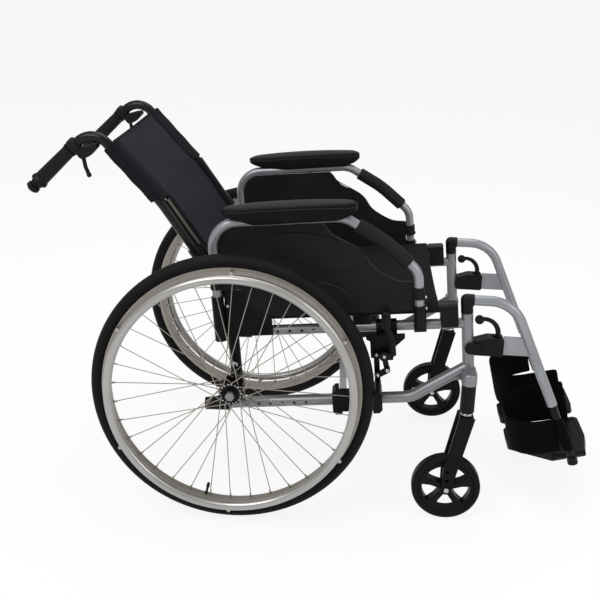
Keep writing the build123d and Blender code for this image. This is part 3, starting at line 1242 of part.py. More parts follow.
def back_cane():
    """Back post: pivot boss, two leaning parts, handle bend and the block that holds the lock rod."""
    pivot = back_pivot()
    lean = CANE_LEAN + CANE_BEND
    tangent = HANDLE_BEND_R * tan(radians(HANDLE_TURN / 2))
    corner = cane_top() + lean_vector(lean) * tangent
    end = corner + lean_vector(lean + HANDLE_TURN) * (tangent + handle_length())
    knee = cane_knee()
    points = [(pivot.X, pivot.Y), (knee.X, knee.Y), (corner.X, corner.Y), (end.X, end.Y)]
    cane = bent_tube(SIDE, FRAME_D, points, [CANE_BEND_R, HANDLE_BEND_R], CANE_R)
    half = CANE_BOSS_W / 2
    cane += across(SIDE, pivot.X, pivot.Y, FRAME_D - half, FRAME_D + half, CANE_BOSS_R)
    cane -= across(SIDE, pivot.X, pivot.Y, FRAME_D - 2 * half, FRAME_D + 2 * half, PIVOT_R + RUN)
    step = lean_vector(CANE_LEAN)
    low = pivot + step * (ROD_START - ROD_BLOCK_LENGTH)
    high = pivot + step * ROD_START
    block = side_bar(low, high, ROD_BLOCK_R)
    ahead = rod_ahead()
    block += side_bar(low + ahead, high + ahead, ROD_R + 3.0)
    return cane + block


def side_bar(start, end, radius):
    """Round bar between two points of the upright plane at the side frame's distance."""
    return bar(Vector(start.X, -FRAME_D, start.Y), Vector(end.X, -FRAME_D, end.Y), radius)


def rod_ahead():
    """Step from the cane's middle line to the lock rod in front of it."""
    front = Vector(cos(radians(CANE_LEAN)), sin(radians(CANE_LEAN)), 0)
    return front * (CANE_R + ROD_R + TOUCH)


def lock_rod():
    """Bright rod of the recline lock along the front of the lower cane."""
    step = lean_vector(CANE_LEAN)
    start = back_pivot() + step * (ROD_START + RUN) + rod_ahead()
    end = back_pivot() + step * ROD_END + rod_ahead()
    return side_bar(start, end, ROD_R)


def push_grip():
    """Smooth handle grip with a front lip, a flange, a ring and a flat end knob, and the release housing."""
    plane = handle_plane()
    turning = Plane(origin=plane.origin, x_dir=plane.z_dir, z_dir=plane.x_dir)
    end = GRIP_START + GRIP_LENGTH
    flange = end + GRIP_FLANGE_T
    ring = flange + GRIP_NECK / 2
    knob = ring + GRIP_RING_T + GRIP_NECK
    profile = [
        (GRIP_START, 0), (GRIP_START, GRIP_LIP_R), (GRIP_START + GRIP_LIP_T, GRIP_LIP_R),
        (GRIP_START + GRIP_LIP_T + 1.5, GRIP_R), (end - GRIP_FLANGE_T, GRIP_R + GRIP_SWELL),
        (end, GRIP_FLANGE_R), (flange - 2.0, GRIP_FLANGE_R), (flange, GRIP_FLANGE_R - 3.0), (flange, GRIP_NECK_R),
        (ring, GRIP_NECK_R), (ring, GRIP_RING_R), (ring + GRIP_RING_T, GRIP_RING_R),
        (ring + GRIP_RING_T, GRIP_NECK_R), (knob, GRIP_NECK_R), (knob, KNOB_R - 3.0), (knob + 3.0, KNOB_R),
        (knob + KNOB_LENGTH - 4.0, KNOB_R), (knob + KNOB_LENGTH, KNOB_R - 5.0), (knob + KNOB_LENGTH, 0),
    ]
    grip = revolve(turning * polygon(*profile), Axis(plane.origin, plane.z_dir))
    grip -= extrude(plane * Circle(CANE_R + RUN), handle_length() + TOUCH)
    return [grip, release_housing()]


def release_pivot():
    """Pivot of the release lever in the handle's plane: y below the tube, z along it."""
    return RELEASE_DROP, HOUSING_START + COLLAR_LENGTH / 2


def handle_across(y, z, near, far, radius):
    """Round bar from side to side at a place in the handle's plane."""
    plane = handle_plane()
    start = plane.from_local_coords((near, y, z))
    return bar(start, plane.from_local_coords((far, y, z)), radius)


def below_sign():
    """Sign of the handle plane's y that points below the handle."""
    return -1 if handle_plane().y_dir.Z > 0 else 1


def release_housing():
    """Release housing: a collar on the handle, two cheeks under it that reach into the bend, and a front web."""
    plane = handle_plane()
    collar = extrude(plane.offset(HOUSING_START) * Circle(RELEASE_COLLAR_R), COLLAR_LENGTH)
    collar = fillet(collar.edges().filter_by(GeomType.CIRCLE), 4.0)
    sign = below_sign()
    side = Plane(origin=plane.origin, x_dir=plane.y_dir * sign, z_dir=plane.x_dir * sign)
    drop, z = release_pivot()
    low = drop + RELEASE_EAR_R
    reach = -HOUSING_REACH
    cheek = polygon((drop - 12.0, z + 6.0), (drop - 12.0, HOUSING_START + 2.0), (drop - 2.0, reach * 0.6),
                    (drop + 6.0, reach), (low + 5.0, reach * 0.85), (low + 6.0, 0), (low, z + 6.0), (drop, z + 8.0))
    cheek = fillet(cheek.vertices(), 2.0)
    web = polygon((drop + 1.0, reach * 0.5), (drop + 6.0, reach * 0.9), (low + 2.0, reach * 0.8),
                  (low + 2.0, reach * 0.35), (drop + 4.0, reach * 0.3))
    gap = RELEASE_LEVER_T / 2 + TOUCH
    wide = gap + RELEASE_EAR_T
    for near, far in ((gap, wide), (-wide, -gap)):
        collar += extrude(side.offset(near) * cheek, far - near)
    collar += extrude(side.offset(-gap - 1.0) * web, 2 * gap + 2.0)
    collar -= extrude(plane * Circle(CANE_R + RUN), 2 * COLLAR_LENGTH)
    y = sign * drop
    return collar + handle_across(y, z, -gap - 1, gap + 1, RELEASE_PIN_R)


def release_lever():
    """Curved trigger that hangs from the collar."""
    drop, z = release_pivot()
    y = below_sign() * drop
    plane = handle_plane()
    half = RELEASE_LEVER_T / 2
    root = handle_across(y, z, -half, half, RELEASE_EAR_R - 2.0)
    start = plane.from_local_coords((0, y, z))
    down = Vector(0.18, 0, -1).normalized()
    knee = start + down * (RELEASE_LEVER_LENGTH * 0.6)
    tip = knee + Vector(0.42, 0, -1).normalized() * (RELEASE_LEVER_LENGTH * 0.4)
    path = FilletPolyline([start, knee, tip], radius=[3 * RELEASE_LEVER_R])
    root += sweep(Plane(origin=path @ 0, z_dir=path % 0) * Circle(RELEASE_LEVER_R), path)
    root += Pos(*tip) * Sphere(RELEASE_LEVER_R + 1.0)
    return root - handle_across(y, z, -2 * half, 2 * half, RELEASE_PIN_R + RUN)


def cane_section(origin, lean):
    """Plane square to a leaning cane: x to the left, y to the front of the back."""
    step = lean_vector(lean)
    return Plane(origin=(origin.X, 0, origin.Y), x_dir=(0, 1, 0), z_dir=(step.X, 0, step.Y))


def sling_band(half_width, front):
    """Section of the back cloth between two edges, with a sag to the rear."""
    sign = 1 if cane_section(back_pivot(), CANE_LEAN).y_dir.X > 0 else -1
    near = sign * (front - BACK_T / 2)
    far = sign * (front + BACK_T / 2)
    sag = sign * BACK_SAG
    return shape(
        ThreePointArc((-half_width, near), (0, near - sag), (half_width, near)),
        Line((half_width, near), (half_width, far)),
        ThreePointArc((half_width, far), (0, far - sag), (-half_width, far)),
        Line((-half_width, far), (-half_width, near)),
    )


def back_sling():
    """Back cloth with sleeves round the upper canes and a narrower panel down to the seat."""
    inner = CANE_R + TOUCH
    upper = sling_band(FRAME_D, BACK_FRONT)
    for lean in (1, -1):
        upper += Pos(lean * FRAME_D, 0) * Circle(inner + BACK_SLEEVE_T)
    for lean in (1, -1):
        upper -= Pos(lean * FRAME_D, 0) * Circle(inner)
    step = lean_vector(CANE_LEAN + CANE_BEND)
    knee_run = CANE_BEND_R * tan(radians(CANE_BEND / 2))
    start = cane_knee() + step * (knee_run + TOUCH)
    length = CANE_UPPER - knee_run - TOUCH - BACK_SLEEVE_END
    cloth = extrude(cane_section(start, CANE_LEAN + CANE_BEND) * upper, length)
    low_step = lean_vector(CANE_LEAN)
    low_start = back_pivot() + low_step * BACK_LOW_START
    low_length = CANE_LOWER + knee_run - BACK_LOW_START
    lower = extrude(cane_section(low_start, CANE_LEAN) * sling_band(BACK_LOW_EDGE, BACK_FRONT), low_length + 4.0)
    return cloth + lower


def right_pieces():
    """Every right-hand node by name, as a list of solids."""
    one = {
        "rear_bracket": rear_bracket, "tyre": tyre, "rim": rim, "hub": hub, "handrim": handrim,
        "caster_fork": caster_fork, "armrest_tube": armrest_tube, "arm_pad": arm_pad, "side_panel": side_panel,
        "brake_body": brake_body, "brake_lever": brake_lever, "brake_link": brake_link, "brake_shoe": brake_shoe,
        "legrest_hanger": legrest_hanger, "latch_lever": latch_lever, "foot_tube": foot_tube,
        "footplate": footplate, "heel_strap": heel_strap, "back_cane": back_cane, "lock_rod": lock_rod,
        "release_lever": release_lever,
    }
    many = {
        "frame_fittings": frame_fittings, "spokes": spokes, "caster_wheel": caster_wheel, "arm_grip": arm_grip,
        "legrest_fittings": legrest_fittings, "push_grip": push_grip,
    }
    pieces = {name: [build()] for name, build in one.items()}
    pieces.update({name: build() for name, build in many.items()})
    pieces["side_frame"] = [side_frame(), axle()]
    return pieces


def whole_chair():
    """Every node by name, as a list of solids, both sides and the middle."""
    nodes = {}
    for name, solids in right_pieces().items():
        nodes[name + "_right"] = solids
        nodes[name + "_left"] = [mirror(solid, about=Plane.XZ) for solid in solids]
    nodes["brace_right"] = [brace_right()]
    nodes["brace_left"] = [brace_left()]
    nodes["seat_sling"] = [seat_sling()]
    nodes["back_sling"] = [back_sling()]
    return nodes


def origin_shift(nodes):
    """Move that brings the bottom centre of the chair's box to the origin."""
    boxes = [solid.bounding_box() for solids in nodes.values() for solid in solids]
    rear = min(box.min.X for box in boxes)
    front = max(box.max.X for box in boxes)
    return Vector(-(rear + front) / 2, 0, -min(box.min.Z for box in boxes))


NODES = whole_chair()
SHIFT = origin_shift(NODES)


def main():
    """Write each node as one STEP file."""
    os.makedirs("parts", exist_ok=True)
    for name, solids in NODES.items():
        moved = [Pos(*SHIFT) * solid for solid in solids]
        export_step(moved[0] if len(moved) == 1 else Compound(children=moved), f"parts/{name}.step")


main()
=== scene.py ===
"""Dresses the folding wheelchair with its reclining back: finishes, cloth, pads, trim, studio and camera."""

import json
import logging
import math
from dataclasses import dataclass
from enum import Enum
from typing import Any, Callable, Iterator, Sequence

import bmesh
import bpy
from mathutils import Matrix, Vector


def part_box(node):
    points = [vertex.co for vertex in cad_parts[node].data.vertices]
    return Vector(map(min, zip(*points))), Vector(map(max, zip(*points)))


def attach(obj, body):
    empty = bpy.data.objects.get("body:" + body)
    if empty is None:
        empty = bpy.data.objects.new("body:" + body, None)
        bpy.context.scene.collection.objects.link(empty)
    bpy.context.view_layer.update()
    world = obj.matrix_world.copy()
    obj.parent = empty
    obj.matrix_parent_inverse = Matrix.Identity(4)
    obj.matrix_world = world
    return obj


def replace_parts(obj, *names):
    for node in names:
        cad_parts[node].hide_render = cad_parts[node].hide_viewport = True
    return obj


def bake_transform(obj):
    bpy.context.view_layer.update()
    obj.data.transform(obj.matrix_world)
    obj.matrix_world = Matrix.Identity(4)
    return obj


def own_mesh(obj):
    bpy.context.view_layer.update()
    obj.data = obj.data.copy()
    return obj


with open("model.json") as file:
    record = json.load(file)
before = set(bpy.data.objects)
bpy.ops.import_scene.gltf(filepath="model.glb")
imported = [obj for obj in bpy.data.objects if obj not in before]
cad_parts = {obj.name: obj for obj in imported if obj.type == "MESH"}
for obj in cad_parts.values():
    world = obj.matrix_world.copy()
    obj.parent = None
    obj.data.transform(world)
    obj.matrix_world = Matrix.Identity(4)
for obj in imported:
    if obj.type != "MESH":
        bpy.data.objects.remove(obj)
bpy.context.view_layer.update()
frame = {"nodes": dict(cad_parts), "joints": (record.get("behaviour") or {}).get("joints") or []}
LOG = logging.getLogger("wheelchair")
Piece = bpy.types.Object
Ring = list[Vector]
Pair = tuple[float, float]
Station = Callable[[float, float], Vector]
SIDES: tuple[tuple[str, int], ...] = (("right", -1), ("left", 1))
UPWARDS = Vector((0.0, 0.0, 1.0))
COAT_ROUGHNESS = 0.22
PATCH_SCALE = 11.0
STITCH_PITCH = 0.0045
STITCH_LIFT = 0.0002


def across(y: float) -> Vector:
    """A step across the chair, to the left where it is positive."""
    return Vector((0.0, y, 0.0))


def radial(angle: float) -> Vector:
    """Direction in the upright plane at an angle above straight ahead."""
    return Vector((math.cos(angle), 0.0, math.sin(angle)))


def around(count: int) -> list[float]:
    """Even angles once round a circle."""
    return [2 * math.pi * k / count for k in range(count)]


def clamp(value: float) -> float:
    """A value kept between 0 and 1."""
    return min(max(value, 0.0), 1.0)


class Wire:
    """A node socket that takes part in sums, so that 1 - mask adds its Math node."""

    def __init__(self, graph: "Graph", socket: bpy.types.NodeSocket) -> None:
        """Keeps the socket with the graph that it belongs to."""
        self.graph = graph
        self.socket = socket

    def beside(self, output: str) -> "Wire":
        """Another output of the same node."""
        return Wire(self.graph, self.socket.node.outputs[output])

    def math(self, operation: str, *values: Any) -> "Wire":
        """Adds one Math node.

        Args:
            operation: the Math node's operation.
            values: its inputs in order, wires or numbers.

        Returns:
            The node's result.
        """
        return self.graph.node("ShaderNodeMath", dict(enumerate(values)), operation=operation)

    def __add__(self, other: Any) -> "Wire":
        """Sum with a wire or a number."""
        return self.math("ADD", self, other)

    def __sub__(self, other: Any) -> "Wire":
        """Difference from a wire or a number."""
        return self.math("SUBTRACT", self, other)

    def __rsub__(self, other: Any) -> "Wire":
        """A number less this wire."""
        return self.math("SUBTRACT", other, self)

    def __mul__(self, other: Any) -> "Wire":
        """Product with a wire or a number."""
        return self.math("MULTIPLY", self, other)

    def sine(self) -> "Wire":
        """Sine of this wire."""
        return self.math("SINE", self)

    def size(self) -> "Wire":
        """Absolute value of this wire."""
        return self.math("ABSOLUTE", self)

    def span(self, low: float, high: float) -> "Wire":
        """Smooth step from 0 at low to 1 at high."""
        return self.graph.node("ShaderNodeMapRange", {"Value": self, "From Min": low, "From Max": high},
                               interpolation_type="SMOOTHSTEP")


class Graph:
    """A node tree that is written as expressions."""

    def __init__(self, tree: bpy.types.NodeTree) -> None:
        """Keeps the tree that nodes are added to."""
        self.tree = tree

    @classmethod
    def fresh(cls, owner: bpy.types.Material | bpy.types.World) -> "Graph":
        """Empties the owner's node tree and hands it out."""
        owner.use_nodes = True
        owner.node_tree.nodes.clear()
        return cls(owner.node_tree)

    def node(self, kind: str, inputs: dict[Any, Any] | None = None, out: Any = 0, **settings: Any) -> Wire:
        """Adds one node.

        Args:
            kind: the node's type name.
            inputs: values or wires by socket name or index.
            out: the output to return, by name or index.
            settings: properties of the node, set before its sockets are used.

        Returns:
            The chosen output, or the first input of a node that has no output.
        """
        made = self.tree.nodes.new(kind)
        for key, value in settings.items():
            setattr(made, key, value)
        for key, value in (inputs or {}).items():
            socket = made.inputs[key]
            if isinstance(value, Wire):
                self.tree.links.new(value.socket, socket)
            else:
                socket.default_value = value
        return Wire(self, made.outputs[out] if made.outputs else made.inputs[0])

    def split(self, vector: Wire) -> tuple[Wire, Wire, Wire]:
        """The three parts of a vector."""
        x = self.node("ShaderNodeSeparateXYZ", {0: vector}, "X")
        return x, x.beside("Y"), x.beside("Z")

    def tint(self, mask: Wire, first: Sequence[float], second: Sequence[float]) -> Wire:
        """A colour between two linear colours."""
        return self.node("ShaderNodeMix", {"Factor": mask, 6: (*first, 1.0), 7: (*second, 1.0)}, 2,
                         data_type="RGBA")

    def noise(self, place: Wire, scale: float, detail: float) -> Wire:
        """Noise over the surface, about 0 to 1."""
        return self.node("ShaderNodeTexNoise", {"Vector": place, "Scale": scale, "Detail": detail})


class Surface(Enum):
    """The kinds of surface on the chair."""

    SATIN = "satin metal"
    COATED = "coated metal"
    MOULDED = "moulded plastic"
    RUBBER = "rubber"
    TREAD = "tyre"
    WOVEN = "woven cloth"
    WEBBING = "webbing"
    SKIN = "pad skin"
    RAILED = "bare arm and black rail"


@dataclass(frozen=True)
class Ground:
    """What every pattern starts from: the tree, the place on the piece, fine noise and broad patches."""

    graph: Graph
    place: Wire
    fine: Wire
    patch: Wire

    def threads(self) -> tuple[Wire, Wire]:
        """Places along the cloth's own two directions, in metres."""
        return self.graph.split(self.graph.node("ShaderNodeUVMap", uv_map="cloth"))[:2]

    def height_across(self) -> Wire:
        """Distance up across the sloping tubes."""
        x, _, z = self.graph.split(self.place)
        return z * math.cos(LAYOUT.slope) - (x - LAYOUT.axle().x) * math.sin(LAYOUT.slope)

    def uneven(self, amount: float) -> Wire:
        """Broad change of roughness, up and down by half of the amount."""
        return (self.patch - 0.5) * amount


Look = tuple[Wire, Wire, Wire]


@dataclass(frozen=True)
class Finish:
    """One finish: its colours, gloss and the size of its pattern.

    The two colours are linear. The first is the base. The second is the tone of wear and patches; on the pad
    skin it is painted light on the pad's top, and on the brace it is the black paint of the rail. grain is
    the pattern's pitch and depth its relief, both in metres, and shine is the strength of its plain
    reflection. Each pattern gives its height, the mask between the two colours and the change of roughness.
    """

    name: str
    surface: Surface
    color: tuple[float, float, float]
    wear_and_lit_tone: tuple[float, float, float]
    roughness: float
    grain: float
    depth: float
    shine: float = 0.5
    metallic: float = 0.0
    coat: float = 0.0

    def material(self) -> bpy.types.Material:
        """Builds the material once and hands it out after that.

        Returns:
            The finish's material.
        """
        name = f"{self.name}_finish"
        known = bpy.data.materials.get(name)
        if known:
            return known
        made = bpy.data.materials.new(name)
        graph = Graph.fresh(made)
        height, mask, change = self.pattern(graph)
        bump = graph.node("ShaderNodeBump", {"Strength": 1.0, "Distance": self.depth, "Height": height})
        shader = graph.node("ShaderNodeBsdfPrincipled", {
            "Base Color": graph.tint(mask, self.color, self.wear_and_lit_tone), "Roughness": change + self.roughness,
            "Metallic": self.metallic, "Coat Weight": self.coat, "Coat Roughness": COAT_ROUGHNESS,
            "Specular IOR Level": self.shine, "Normal": bump,
        })
        graph.node("ShaderNodeOutputMaterial", {"Surface": shader})
        return made

    def pattern(self, graph: Graph) -> Look:
        """Lays down the finish's pattern in its material's node tree."""
        place = graph.node("ShaderNodeTexCoord", out="Object")
        fine = graph.noise(place, 1.0 / self.grain, 3.0)
        ground = Ground(graph, place, fine, graph.noise(place, PATCH_SCALE, 2.0))
        makers: dict[Surface, Callable[[Ground], Look]] = {
            Surface.TREAD: self.tread, Surface.WOVEN: self.weave, Surface.WEBBING: self.ribbed,
            Surface.SKIN: self.leather_and_lit_top, Surface.MOULDED: self.spark, Surface.RAILED: self.railed,
        }
        return makers.get(self.surface, self.plain)(ground)

    def plain(self, on: Ground) -> Look:
        """Fine grain under broad, duller patches."""
        mask = on.patch.span(0.35, 0.75) * 0.5 + on.fine.span(0.45, 0.8) * 0.2
        return on.fine, mask, (on.fine - 0.5) * 0.14 + on.uneven(0.12)

    def spark(self, on: Ground) -> Look:
        """Fine spark-eroded grain of a moulding."""
        cells = on.graph.node("ShaderNodeTexVoronoi", {"Vector": on.place, "Scale": 1.0 / self.grain})
        mask = on.patch.span(0.4, 0.8) * 0.55 + cells.span(0.2, 0.9) * 0.2
        return cells * 0.6 + on.fine * 0.4, mask, on.uneven(0.18)

    def leather_and_lit_top(self, on: Ground) -> Look:
        """Pebbled skin of a moulded pad with painted light: its top is lighter than its sides, where light
        falls on it.
        """
        cells = on.graph.node("ShaderNodeTexVoronoi", {"Vector": on.place, "Scale": 1.0 / self.grain},
                              feature="DISTANCE_TO_EDGE")
        rise = on.height_across() - LAYOUT.pad_t
        # Painted light: the pad's top takes the lighter second colour in place of the light falling on it;
        # broad patches are mixed in.
        crown = (rise + (on.patch - 0.5) * 0.002).span(0.0225, 0.0285)
        mask = crown * 0.85 + on.patch.span(0.35, 0.8) * 0.12
        return cells.span(0.0, 0.3) * 0.8 + on.fine * 0.2, mask, on.uneven(0.2)

    def railed(self, on: Ground) -> Look:
        """Bare metal arm whose seat rail is coated black."""
        rise = on.height_across() - LAYOUT.rail_t + LAYOUT.rail_r
        black = (rise + (on.fine - 0.5) * 0.0004).span(-0.003, -0.002)
        return on.fine, black * 0.97 + on.patch.span(0.35, 0.75) * 0.03, on.uneven(0.12)

    def weave(self, on: Ground) -> Look:
        """Plain weave along the cloth's own directions."""
        turn = 2.0 * math.pi / self.grain
        warp, weft = ((way * turn).sine() for way in on.threads())
        height = (warp * weft) * 0.5 + 0.5
        mask = height * 0.35 + on.patch.span(0.3, 0.8) * 0.35
        return height + on.fine * 0.3, mask, on.uneven(0.1)

    def ribbed(self, on: Ground) -> Look:
        """Webbing with ribs along its length and a finer cross thread."""
        length, width = on.threads()
        turn = 2.0 * math.pi / self.grain
        ribs = (width * turn).sine().size()
        cross = (length * (turn / 0.6) + ribs * 2.0).sine()
        height = ribs * 0.7 + cross * 0.2 + on.fine * 0.2
        return height, ribs * 0.4 + on.patch.span(0.3, 0.8) * 0.3, on.uneven(0.1)

    def tread(self, on: Ground) -> Look:
        """Tyre with moulding rings on its sidewall, grooves round its tread and short cross cuts."""
        hub = LAYOUT.axle()
        ring_pitch, groove_pitch, cut_count = 0.0062, 0.0075, 140.0
        x, y, z = on.graph.split(on.graph.node("ShaderNodeVectorMath", {0: on.place, 1: (hub.x, 0.0, hub.z)},
                                               operation="SUBTRACT"))
        radius = x.math("SQRT", x * x + z * z)
        angle = x.math("ARCTAN2", z, x)
        offset = y.size() - LAYOUT.wheel_d
        ring = (radius * (2.0 * math.pi / ring_pitch)).sine().span(0.55, 0.95)
        groove = (offset * (2.0 * math.pi / groove_pitch)).sine().size().span(0.0, 0.45)
        cuts = ((angle * cut_count).sine() + (offset * 700.0).sine() * 0.4).span(-0.9, -0.5)
        top = radius.span(LAYOUT.tyre_r - 0.009, LAYOUT.tyre_r - 0.003)
        height = top * (groove * 0.7 + cuts * 0.6) + (1 - top) * ring * 0.35 + on.fine * 0.1
        mask = on.patch.span(0.3, 0.8) * 0.4 + top * 0.35 + (1 - top) * ring * 0.25
        return height, mask, on.uneven(0.16)


FRAME_SILVER = Finish("frame_silver", Surface.SATIN, (0.29, 0.3, 0.317), (0.225, 0.232, 0.242),
                      0.38, 0.0012, 0.00002, metallic=0.6, coat=0.1)
# Painted shade: a darker copy of the frame silver for the side frame, whose long sloping tubes take less
# light than the hangers and armrests.
FRAME_SILVER_SHADED = Finish("frame_tube", Surface.SATIN, (0.215, 0.221, 0.231), (0.165, 0.17, 0.177),
                    0.38, 0.0012, 0.00002, metallic=0.6, coat=0.1)
BRACE_TWO_TONE = Finish("brace_two_tone", Surface.RAILED, (0.48, 0.486, 0.5), (0.004, 0.004, 0.0044),
                        0.42, 0.0014, 0.00004, 0.2, metallic=0.1)
BLACK_COAT = Finish("black_coat", Surface.COATED, (0.0027, 0.0027, 0.003), (0.006, 0.006, 0.0066),
                    0.36, 0.0011, 0.00004, 0.1)
CANE_BLACK = Finish("cane_black", Surface.COATED, (0.0045, 0.0043, 0.004), (0.01, 0.0095, 0.0088),
                    0.26, 0.0012, 0.00002, 0.2, coat=0.03)
MOULDED_BLACK = Finish("moulded_black", Surface.MOULDED, (0.0034, 0.0034, 0.0038), (0.0075, 0.0075, 0.0082),
                       0.44, 0.0009, 0.00008, 0.14)
PANEL_BLACK = Finish("panel_black", Surface.MOULDED, (0.0045, 0.0047, 0.0058), (0.009, 0.0094, 0.011),
                     0.55, 0.001, 0.0001, 0.16)
BRIGHT_STEEL = Finish("bright_steel", Surface.SATIN, (0.52, 0.52, 0.52), (0.42, 0.41, 0.395),
                      0.26, 0.001, 0.00001, metallic=1.0)
ROD_STEEL = Finish("rod_steel", Surface.SATIN, (0.085, 0.075, 0.062), (0.05, 0.045, 0.038),
                   0.36, 0.001, 0.00001, 0.3, metallic=0.5)
TYRE_BLACK = Finish("tyre_black", Surface.TREAD, (0.004, 0.0039, 0.0039), (0.01, 0.0098, 0.0097),
                    0.62, 0.0012, 0.0005, 0.11)
RIM_WARM = Finish("rim_warm", Surface.SATIN, (0.3, 0.275, 0.243), (0.235, 0.213, 0.186),
                  0.4, 0.001, 0.00002, metallic=0.55, coat=0.1)
SPOKE_WIRE = Finish("spoke_wire", Surface.SATIN, (0.34, 0.31, 0.265), (0.26, 0.235, 0.195),
                    0.36, 0.0008, 0.00001, metallic=0.7)
HANDRIM_SILVER = Finish("handrim_silver", Surface.SATIN, (0.4, 0.39, 0.378), (0.33, 0.32, 0.308),
                        0.3, 0.0009, 0.00002, metallic=0.75, coat=0.1)
CASTER_BLACK = Finish("caster_black", Surface.MOULDED, (0.003, 0.003, 0.0032), (0.0065, 0.0065, 0.007),
                      0.4, 0.001, 0.00008, 0.1)
DARK_TUBE = Finish("dark_tube", Surface.COATED, (0.0035, 0.0037, 0.0041), (0.007, 0.0073, 0.008),
                   0.24, 0.001, 0.00002, 0.14)
GRIP_RUBBER = Finish("grip_rubber", Surface.RUBBER, (0.005, 0.0048, 0.0046), (0.0105, 0.01, 0.0096),
                     0.46, 0.0009, 0.00008, 0.14)
FOAM_BLACK = Finish("foam_black", Surface.RUBBER, (0.0085, 0.0083, 0.0081), (0.017, 0.0166, 0.0162),
                    0.7, 0.0007, 0.0002, 0.14)
# The pad skin's second colour is painted light, laid on the top of the pad.
PAD_SKIN = Finish("pad_skin", Surface.SKIN, (0.0036, 0.0036, 0.0039), (0.026, 0.0256, 0.0248),
                  0.46, 0.0016, 0.00015, 0.07)
SEAT_CLOTH = Finish("seat_cloth", Surface.WOVEN, (0.0085, 0.0088, 0.01), (0.015, 0.0155, 0.0175),
                    0.85, 0.0016, 0.0002, 0.06)
BACK_CLOTH = Finish("back_cloth", Surface.WOVEN, (0.019, 0.0203, 0.0243), (0.029, 0.031, 0.0364),
                    0.82, 0.0016, 0.0002, 0.05)
SLEEVE_CLOTH = Finish("sleeve_cloth", Surface.WOVEN, (0.0075, 0.008, 0.0098), (0.013, 0.0138, 0.0165),
                      0.8, 0.0016, 0.0002, 0.06)
STRAP_BLACK = Finish("strap_black", Surface.WEBBING, (0.0022, 0.0022, 0.0024), (0.0048, 0.0048, 0.0053),
                     0.75, 0.0022, 0.0003, 0.03)
THREAD = Finish("thread", Surface.RUBBER, (0.0075, 0.0079, 0.0096), (0.014, 0.0146, 0.0168),
                0.7, 0.0005, 0.0001, 0.1)
# Painted highlight: this lighter finish draws the light caught by the side panels' rounded front edge; it
# also colours the pad seams and the panels' low line.
PIPING_AND_HIGHLIGHT = Finish("piping", Surface.RUBBER, (0.02, 0.0206, 0.022), (0.036, 0.0367, 0.038),
                0.45, 0.0008, 0.00005, 0.2)


@dataclass(frozen=True)
class Layout:
    """The lines that the chair is drawn on, in metres."""

    slope: float = math.radians(5.7)
    frame_d: float = 0.205
    wheel_d: float = 0.288
    caster_d: float = 0.238
    tyre_r: float = 0.300
    rim_inner_r: float = 0.259
    rail_t: float = 0.433
    rail_r: float = 0.011
    pad_t: float = 0.6586

    @staticmethod
    def middle(node: str) -> Vector:
        """Middle of a node's box, moved to the middle plane."""
        low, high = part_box(node)
        return Vector(((low[0] + high[0]) / 2, 0.0, (low[2] + high[2]) / 2))

    def axle(self) -> Vector:
        """Middle of the right-hand hub, moved to the middle plane."""
        return self.middle("hub_right")

    def tilted(self, s: float, t: float, y: float) -> Vector:
        """A point of the sloping side frame.

        Args:
            s: distance forward along the tubes.
            t: distance up across the tubes.
            y: place across the chair.

        Returns:
            The point in the row frame.
        """
        return self.ahead() * s + self.up() * t + Vector((self.axle().x, y, 0.0))

    def up(self) -> Vector:
        """Direction across the sloping tubes."""
        return Vector((-math.sin(self.slope), 0.0, math.cos(self.slope)))

    def ahead(self) -> Vector:
        """Direction along the sloping tubes."""
        return radial(self.slope)


LAYOUT = Layout()


